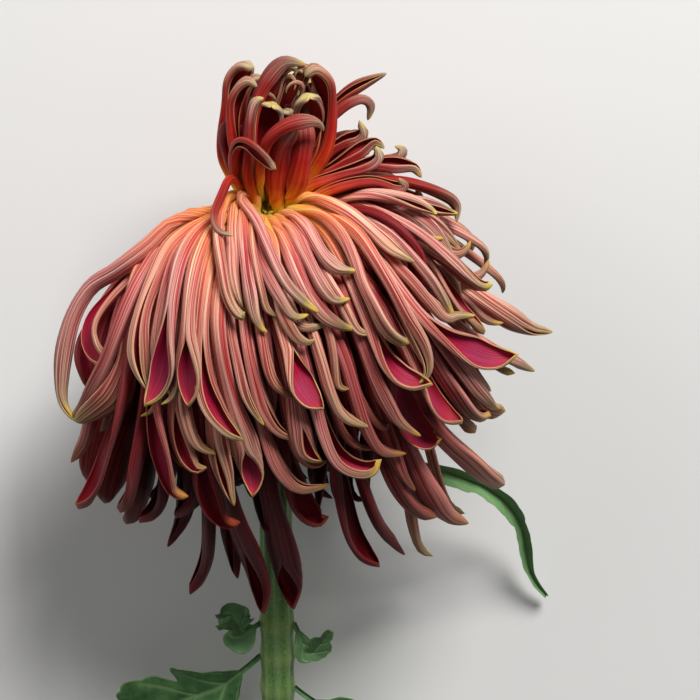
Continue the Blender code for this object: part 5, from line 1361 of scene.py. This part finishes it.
def budGrid(draw):
    # small closed florets all over the dome: bud k leans by the root of its share of them and
    # stands a golden angle round from the last; each rises from its root, bowed out by a sine
    count = heart["buds"]
    lean = np.degrees(heart["budSpread"] * np.sqrt((np.arange(count) + 0.5) / count))
    out = rootDirections(lean, np.degrees(np.arange(count) * heart["turn"]))
    root = np.array(growth["coreCentre"]) + out * np.array(growth["rootSize"]) * heart["budRoot"]
    root = root - heart["budDepth"] * axisUp
    long = draw.uniform(*heart["budLength"], count)[:, None]
    tip = root + (heart["budLean"] * out + heart["budLean"] * axisUp) * long
    t = np.linspace(0, 1, heart["budPoints"])[None, :, None]
    line = root[:, None] * (1 - t) + tip[:, None] * t
    line = line + out[:, None] * (heart["budBow"] * np.sin(math.pi * t) * long[:, None])
    normal = unit(np.cross(np.cross(out, axisUp), out) + 1e-3)
    look = {key: np.zeros(count) for key in ("paintedShade", "facing", "fresh")}
    look["tint"] = draw.uniform(0, 1, count)
    look["phase"] = draw.uniform(0, 1, count)
    look["openFrom"] = np.full(count, heart["budOpen"])
    look["gape"] = np.full(count, heart["budGape"])
    look["size"] = np.full(count, heart["budSize"])
    look["sunk"] = np.zeros((count, heart["budPoints"]))
    return floretGrid(line, normal, np.zeros(count), np.zeros(count), look, "coarse")


points, faces, values = budGrid(dice)
values["along"] = values["along"] * floretShape["budColours"]
finish(meshObject("buds", points, faces, petal, values), "floret", "bloom")
print("involucre and heart")

# Stem
stemLook = {
    "roughness": 0.5, "specular": 0.35, "bump": (0.4, 0.0003),
    "green": ((0.30, (0.055, 0.13, 0.035)), (0.5, (0.10, 0.21, 0.055)), (0.72, (0.17, 0.29, 0.09))),
    "ribs": (0.21, 0.33, 0.12), "joints": (0.34, 0.36, 0.12), "spots": (0.28, 0.38, 0.18),
    "streakGrain": (40.0, 9.0), "spotGrain": (90.0, 160.0),     # round it and along it
    "ribEdge": (-0.6, 0.9, 0.0, 0.45), "jointShare": 0.7, "spotEdge": (0.62, 0.75, 0.0, 0.5),
    # the cut end, from the pith out to the skin
    "pith": ((0.0, (0.62, 0.64, 0.42)), (0.55, (0.50, 0.56, 0.30)), (0.8, (0.24, 0.36, 0.12)),
             (1.0, (0.10, 0.2, 0.05))),
}


def stemMaterial():
    # green streaks along it, paler on the ribs, yellow at the joints, with pale spots
    look = stemLook
    made, tree, shader = newMaterial("stemSkin", look["roughness"], look["specular"])
    along, aside, pith, rib, joint, cut = valuesOf(tree, "along", "aside", "pith", "rib", "joint", "cut")
    across, down = look["streakGrain"]
    streak = placeOf(tree, times(tree, aside, across), times(tree, along, down), 0.0)
    streak = noiseOf(tree, streak, 1.0, 5.0, 0.6)
    green = rampOf(tree, streak, look["green"])
    green = mixOf(tree, rangeOf(tree, rib, *look["ribEdge"]), green, look["ribs"])
    green = mixOf(tree, times(tree, joint, look["jointShare"]), green, look["joints"])
    across, down = look["spotGrain"]
    spot = placeOf(tree, times(tree, aside, across), times(tree, along, down), 3.0)
    spot = noiseOf(tree, spot, 1.0, 2.0)
    green = mixOf(tree, rangeOf(tree, spot, *look["spotEdge"]), green, look["spots"])
    colour = mixOf(tree, cut, green, rampOf(tree, pith, look["pith"]))
    paint(tree, shader, colour, streak, look["bump"])
    return made


def stemGrid():
    # radius along the stem, times one and the ribs' cosines, plus a leaf scar at each joint, on
    # the left and right by turns; the cut end is dished by the square of the way to its middle
    low = stem["radius"] * (1 + stem["rib"]) * math.cos(tilt)
    foot = -(eye[2] - low) / math.sin(tilt)
    top = growth["involucreBottom"] - stem["seatGap"]
    height = np.linspace(top, foot, stem["rows"])[:, None]
    angle = np.linspace(0.0, 2 * math.pi, stem["around"], endpoint=False)[None]
    ribs = np.cos(stem["ribs"] * angle)
    fine = np.cos(3 * stem["ribs"] * angle)
    radius = stemRadius(height) * (1 + stem["rib"] * ribs + stem["fineRib"] * fine)
    joint = np.zeros_like(radius)
    for number, node in enumerate(stem["nodes"]):
        away = np.abs((angle - math.pi * (number % 2) + math.pi) % (2 * math.pi) - math.pi)
        faced = bell(away, 0.0, stem["scarWidth"])
        ring = stem["ringAround"] + (1 - stem["ringAround"]) * faced
        joint = joint + bell(height, node, stem["ringLength"]) * ring
        radius = radius + stem["scar"] * faced * bell(height, node, stem["scarLength"])
    side = np.stack([radius * np.cos(angle), radius * np.sin(angle), height * np.ones_like(radius)], -1)
    inner = np.linspace(1.0, 0.0, stem["capRows"])[1:, None]
    rim = side[-1]
    dish = foot + stem["dish"] * (1 - inner ** 2) * np.ones(len(rim))
    cap = np.stack([rim[:, 0] * inner, rim[:, 1] * inner, dish], -1)
    rows = np.concatenate([middlePoint(top, stem["around"]), side, cap])
    shape = rows.shape[:2]
    cut = np.concatenate([np.zeros((1 + len(side), shape[1])), np.ones((len(cap), shape[1]))])
    pith = np.concatenate([np.ones((1 + len(side), 1)), inner]) * np.ones(shape)
    values = {
        "along": (top - rows[..., 2]) / 10.0, "aside": np.broadcast_to(angle / (2 * math.pi), shape),
        "cut": cut, "pith": pith, "joint": np.pad(joint, ((1, len(cap)), (0, 0))),
        "rib": np.broadcast_to(ribs, shape),
    }
    return laidDown(rows).reshape(-1, 3), ringFaces(*shape, 1), values


points, faces, values = stemGrid()
stalk = meshObject("stemSkin", points, faces[:, ::-1], stemMaterial(), values)
finish(weld(stalk), "stem", "stem")
print("stem")


# Leaves
leafLook = {
    "roughness": 0.55, "specular": 0.3, "bump": (0.5, 0.0004),
    "glow": (0.08, (0.3, 1.0, 0.2), 0.0008),
    "mottle": 220.0, "grain": 1400.0,           # how fine, in spots to a metre
    "green": ((0.32, (0.018, 0.065, 0.018)), (0.5, (0.045, 0.13, 0.036)), (0.7, (0.10, 0.22, 0.07))),
    # colour, and how much of it there is: light leaves, veins and the underside; the edge's, a
    # painted highlight along the rim, is by how far out it starts
    "light": ((0.20, 0.36, 0.15), 0.65), "veins": ((0.22, 0.36, 0.15), 0.65),
    "under": ((0.17, 0.27, 0.14), 0.5), "edge": ((0.25, 0.33, 0.14), (0.95, 1.0, 0.0, 0.4)),
    "grainShare": 0.4,
}


def leafMaterial():
    # mottled green, lighter on the light leaves, the veins and the underside, with a painted highlight on
    # the edge
    look = leafLook
    made, tree, shader = newMaterial("leafSkin", look["roughness"], look["specular"])
    aside, vein, under, tint = valuesOf(tree, "aside", "vein", "inside", "tint")
    spot = addNode(tree, "ShaderNodeTexCoord").outputs["Object"]
    mottle = noiseOf(tree, spot, look["mottle"], 5.0, 0.6)
    colour = rampOf(tree, mottle, look["green"])
    for where, key in ((tint, "light"), (vein, "veins"), (under, "under")):
        paler, share = look[key]
        colour = mixOf(tree, times(tree, where, share), colour, paler)
    # painted highlight along the edge of the blade
    paler, places = look["edge"]
    edge = rangeOf(tree, mathOf(tree, "ABSOLUTE", aside), *places)
    colour = mixOf(tree, edge, colour, paler)
    grain = times(tree, noiseOf(tree, spot, look["grain"], 3.0), look["grainShare"])
    paint(tree, shader, colour, mathOf(tree, "ADD", mottle, grain), look["bump"])
    letLightIn(shader, *look["glow"])
    return made


def leafHalfWidth(share, leaf):
    # a stalk's half width plus a lens, sin(pi s^0.75)^0.8, cut into forward lobes with rounded
    # ends, whose outline rises over lobeRise of each and falls over the rest, with teeth
    blade = np.clip((share - leafBlade["stalkShare"]) / (1 - leafBlade["stalkShare"]), 0.0, 1.0)
    lens = np.sin(math.pi * blade ** 0.75) ** 0.8
    reached = blade * (leaf["lobes"] + 0.5)
    phase = reached % 1.0
    lobe = np.minimum(phase / leafBlade["lobeRise"], (1.0 - phase) / (1.0 - leafBlade["lobeRise"]))
    teeth = np.abs(np.sin(math.pi * reached * leafBlade["teeth"])) * (lobe > leafBlade["toothless"])
    lobe = np.sin(lobe * math.pi / 2) ** 0.8
    half = leaf["half"] * lens * (1.0 - leaf["cut"] * (1.0 - lobe))
    return leafBlade["stalk"] + half * (0.94 + leafBlade["tooth"] * teeth)


def leafGrid(leaf):
    # a blade on its midrib: out to each side by v times the half width, folded up by its angle
    # and led forward towards the lobes; sunk at the veins, raised between them; two skins
    rows, half = leafBlade["rows"], leafBlade["columns"]
    share = np.linspace(0, 1, rows)
    middle = splineThrough(leafMidrib(leaf, leafBlade["midribPoints"])[None], rows)[0]
    tangent = unit(np.gradient(middle, axis=0))
    ahead = np.array([0.0, 1.0, 0.15])          # roughly where the upper side faces
    upright = unit(ahead - tangent * (tangent * ahead).sum(-1)[:, None])
    side = np.cross(tangent, upright)
    wide = leafHalfWidth(share, leaf)[:, None]
    share = share[:, None]
    v = np.linspace(-1, 1, half)
    v = np.concatenate([v, v[::-1]])[None]
    skin = np.concatenate([np.ones(half), -np.ones(half)])[None]
    aside = np.abs(v)
    fold = math.radians(leaf["fold"])
    out = v * wide * math.cos(fold)
    lead = aside * wide * leafBlade["lean"]

    # how high it lies over its midrib: fold, waves along it, veins, and half its thickness
    branch = (share * (2 * leaf["lobes"] + 1) - aside * leafBlade["veinLead"]) % 1.0
    midVein = bell(v, 0.0, leafBlade["midribWidth"])
    sideVein = bell(branch, 0.5, leafBlade["veinWidth"]) * (1 - smoothStep(*leafBlade["veinTo"], aside))
    vein = np.maximum(midVein, sideVein * smoothStep(*leafBlade["veinFrom"], share))
    lift = aside * wide * math.sin(fold)
    slow, quick = leafBlade["waves"]
    lift = lift + leafBlade["wave"] * leaf["half"] * np.sin(slow * share) * v ** 2
    lift = lift + leafBlade["edgeWave"] * leaf["half"] * np.sin(quick * share + 1.0) * aside ** 3
    quilted = (1 - sideVein) * np.clip(1 - aside, 0, 1) * smoothStep(*leafBlade["quiltedFrom"], wide)
    lift = lift - leafBlade["vein"] * vein + leafBlade["quilting"] * quilted
    lift = lift + skin * leafBlade["thickness"] / 2 * (1.0 - 0.5 * aside ** 4)
    lift = lift - leafBlade["midribKeel"] * (skin < 0) * midVein
    points = (middle[:, None] + side[:, None] * out[..., None] + upright[:, None] * lift[..., None]
              + tangent[:, None] * lead[..., None])

    values = {"along": share, "aside": v, "vein": vein, "inside": (skin < 0) * 1.0, "tint": leaf["tint"]}
    values = {key: np.broadcast_to(value, (rows, 2 * half)) for key, value in values.items()}
    return laidDown(points).reshape(-1, 3), wallFaces(rows, half, 1), values


leafSkin = leafMaterial()
for name, leaf in leaves.items():
    points, faces, values = leafGrid(leaf)
    finish(meshObject(name, points, faces, leafSkin, values), "leaf", leaf["node"])
print("leaves")

# Camera, floor and light
studio = {
    "sensor": 36.0,                 # width of the camera's sensor
    "floorSize": 3.0,
    "floorColour": (0.70, 0.69, 0.67), "floorRoughness": 0.9, "floorSpecular": 0.1,
    "lights": (                     # right, above, towards the viewer (m), size (m), watts
        (0.42, 0.84, 1.00, 0.50, 29.5),
        (-0.90, 0.40, 0.60, 0.80, 4.0),
    ),
    "sky": (0.62, 0.63, 0.66),
    "skyStrength": 0.20,
}
back = front * math.cos(elevation) + up * math.sin(elevation)
upright = up * math.cos(elevation) - front * math.sin(elevation)
target = eye + across * flower["viewCentre"][0] + upright * flower["viewCentre"][1]
aim = target * flower["scale"]


def standAt(thing, place, toward, above):
    # its own +Z points back from what it looks at, and its +Y is as near to above as can be
    z = unit(np.asarray(place) - np.asarray(toward))
    x = unit(np.cross(above, z))
    y = np.cross(z, x)
    axes = np.stack([x, y, z], axis=1)
    thing.matrix_world = Matrix([[*axes[i], place[i]] for i in range(3)] + [[0, 0, 0, 1]])


camera = bpy.data.cameras.new("camera")
camera.sensor_width = studio["sensor"]
camera.lens = studio["sensor"] * flower["viewDistance"] / flower["viewWidth"]
viewer = bpy.data.objects.new("camera", camera)
bpy.context.scene.collection.objects.link(viewer)
standAt(viewer, (target + back * flower["viewDistance"]) * flower["scale"], aim, upright)
bpy.context.scene.camera = viewer

for number, (right, above, near, broad, watts) in enumerate(studio["lights"]):
    lamp = bpy.data.lights.new("light%d" % number, "AREA")
    lamp.size = broad
    lamp.energy = watts
    place = aim + across * right + upright * above + back * near
    holder = bpy.data.objects.new("light%d" % number, lamp)
    bpy.context.scene.collection.objects.link(holder)
    standAt(holder, place, aim, upright + 0.01 * across)

world = bpy.data.worlds.new("sky")
bpy.context.scene.world = world
world.use_nodes = True
sky = world.node_tree.nodes["Background"]
sky.inputs["Color"].default_value = (*studio["sky"], 1.0)
sky.inputs["Strength"].default_value = studio["skyStrength"]
bpy.context.scene.view_settings.view_transform = "Standard"

paper, _, shader = newMaterial("paper", studio["floorRoughness"], studio["floorSpecular"])
shader.inputs["Base Color"].default_value = (*studio["floorColour"], 1.0)
wide = studio["floorSize"] / flower["scale"]
corners = np.array([(-wide, -wide, 0.0), (wide, -wide, 0.0), (wide, wide, 0.0), (-wide, wide, 0.0)])
meshObject("floor", corners, np.array([[0, 1, 2, 3]]), paper, {})
print("camera, floor and light")
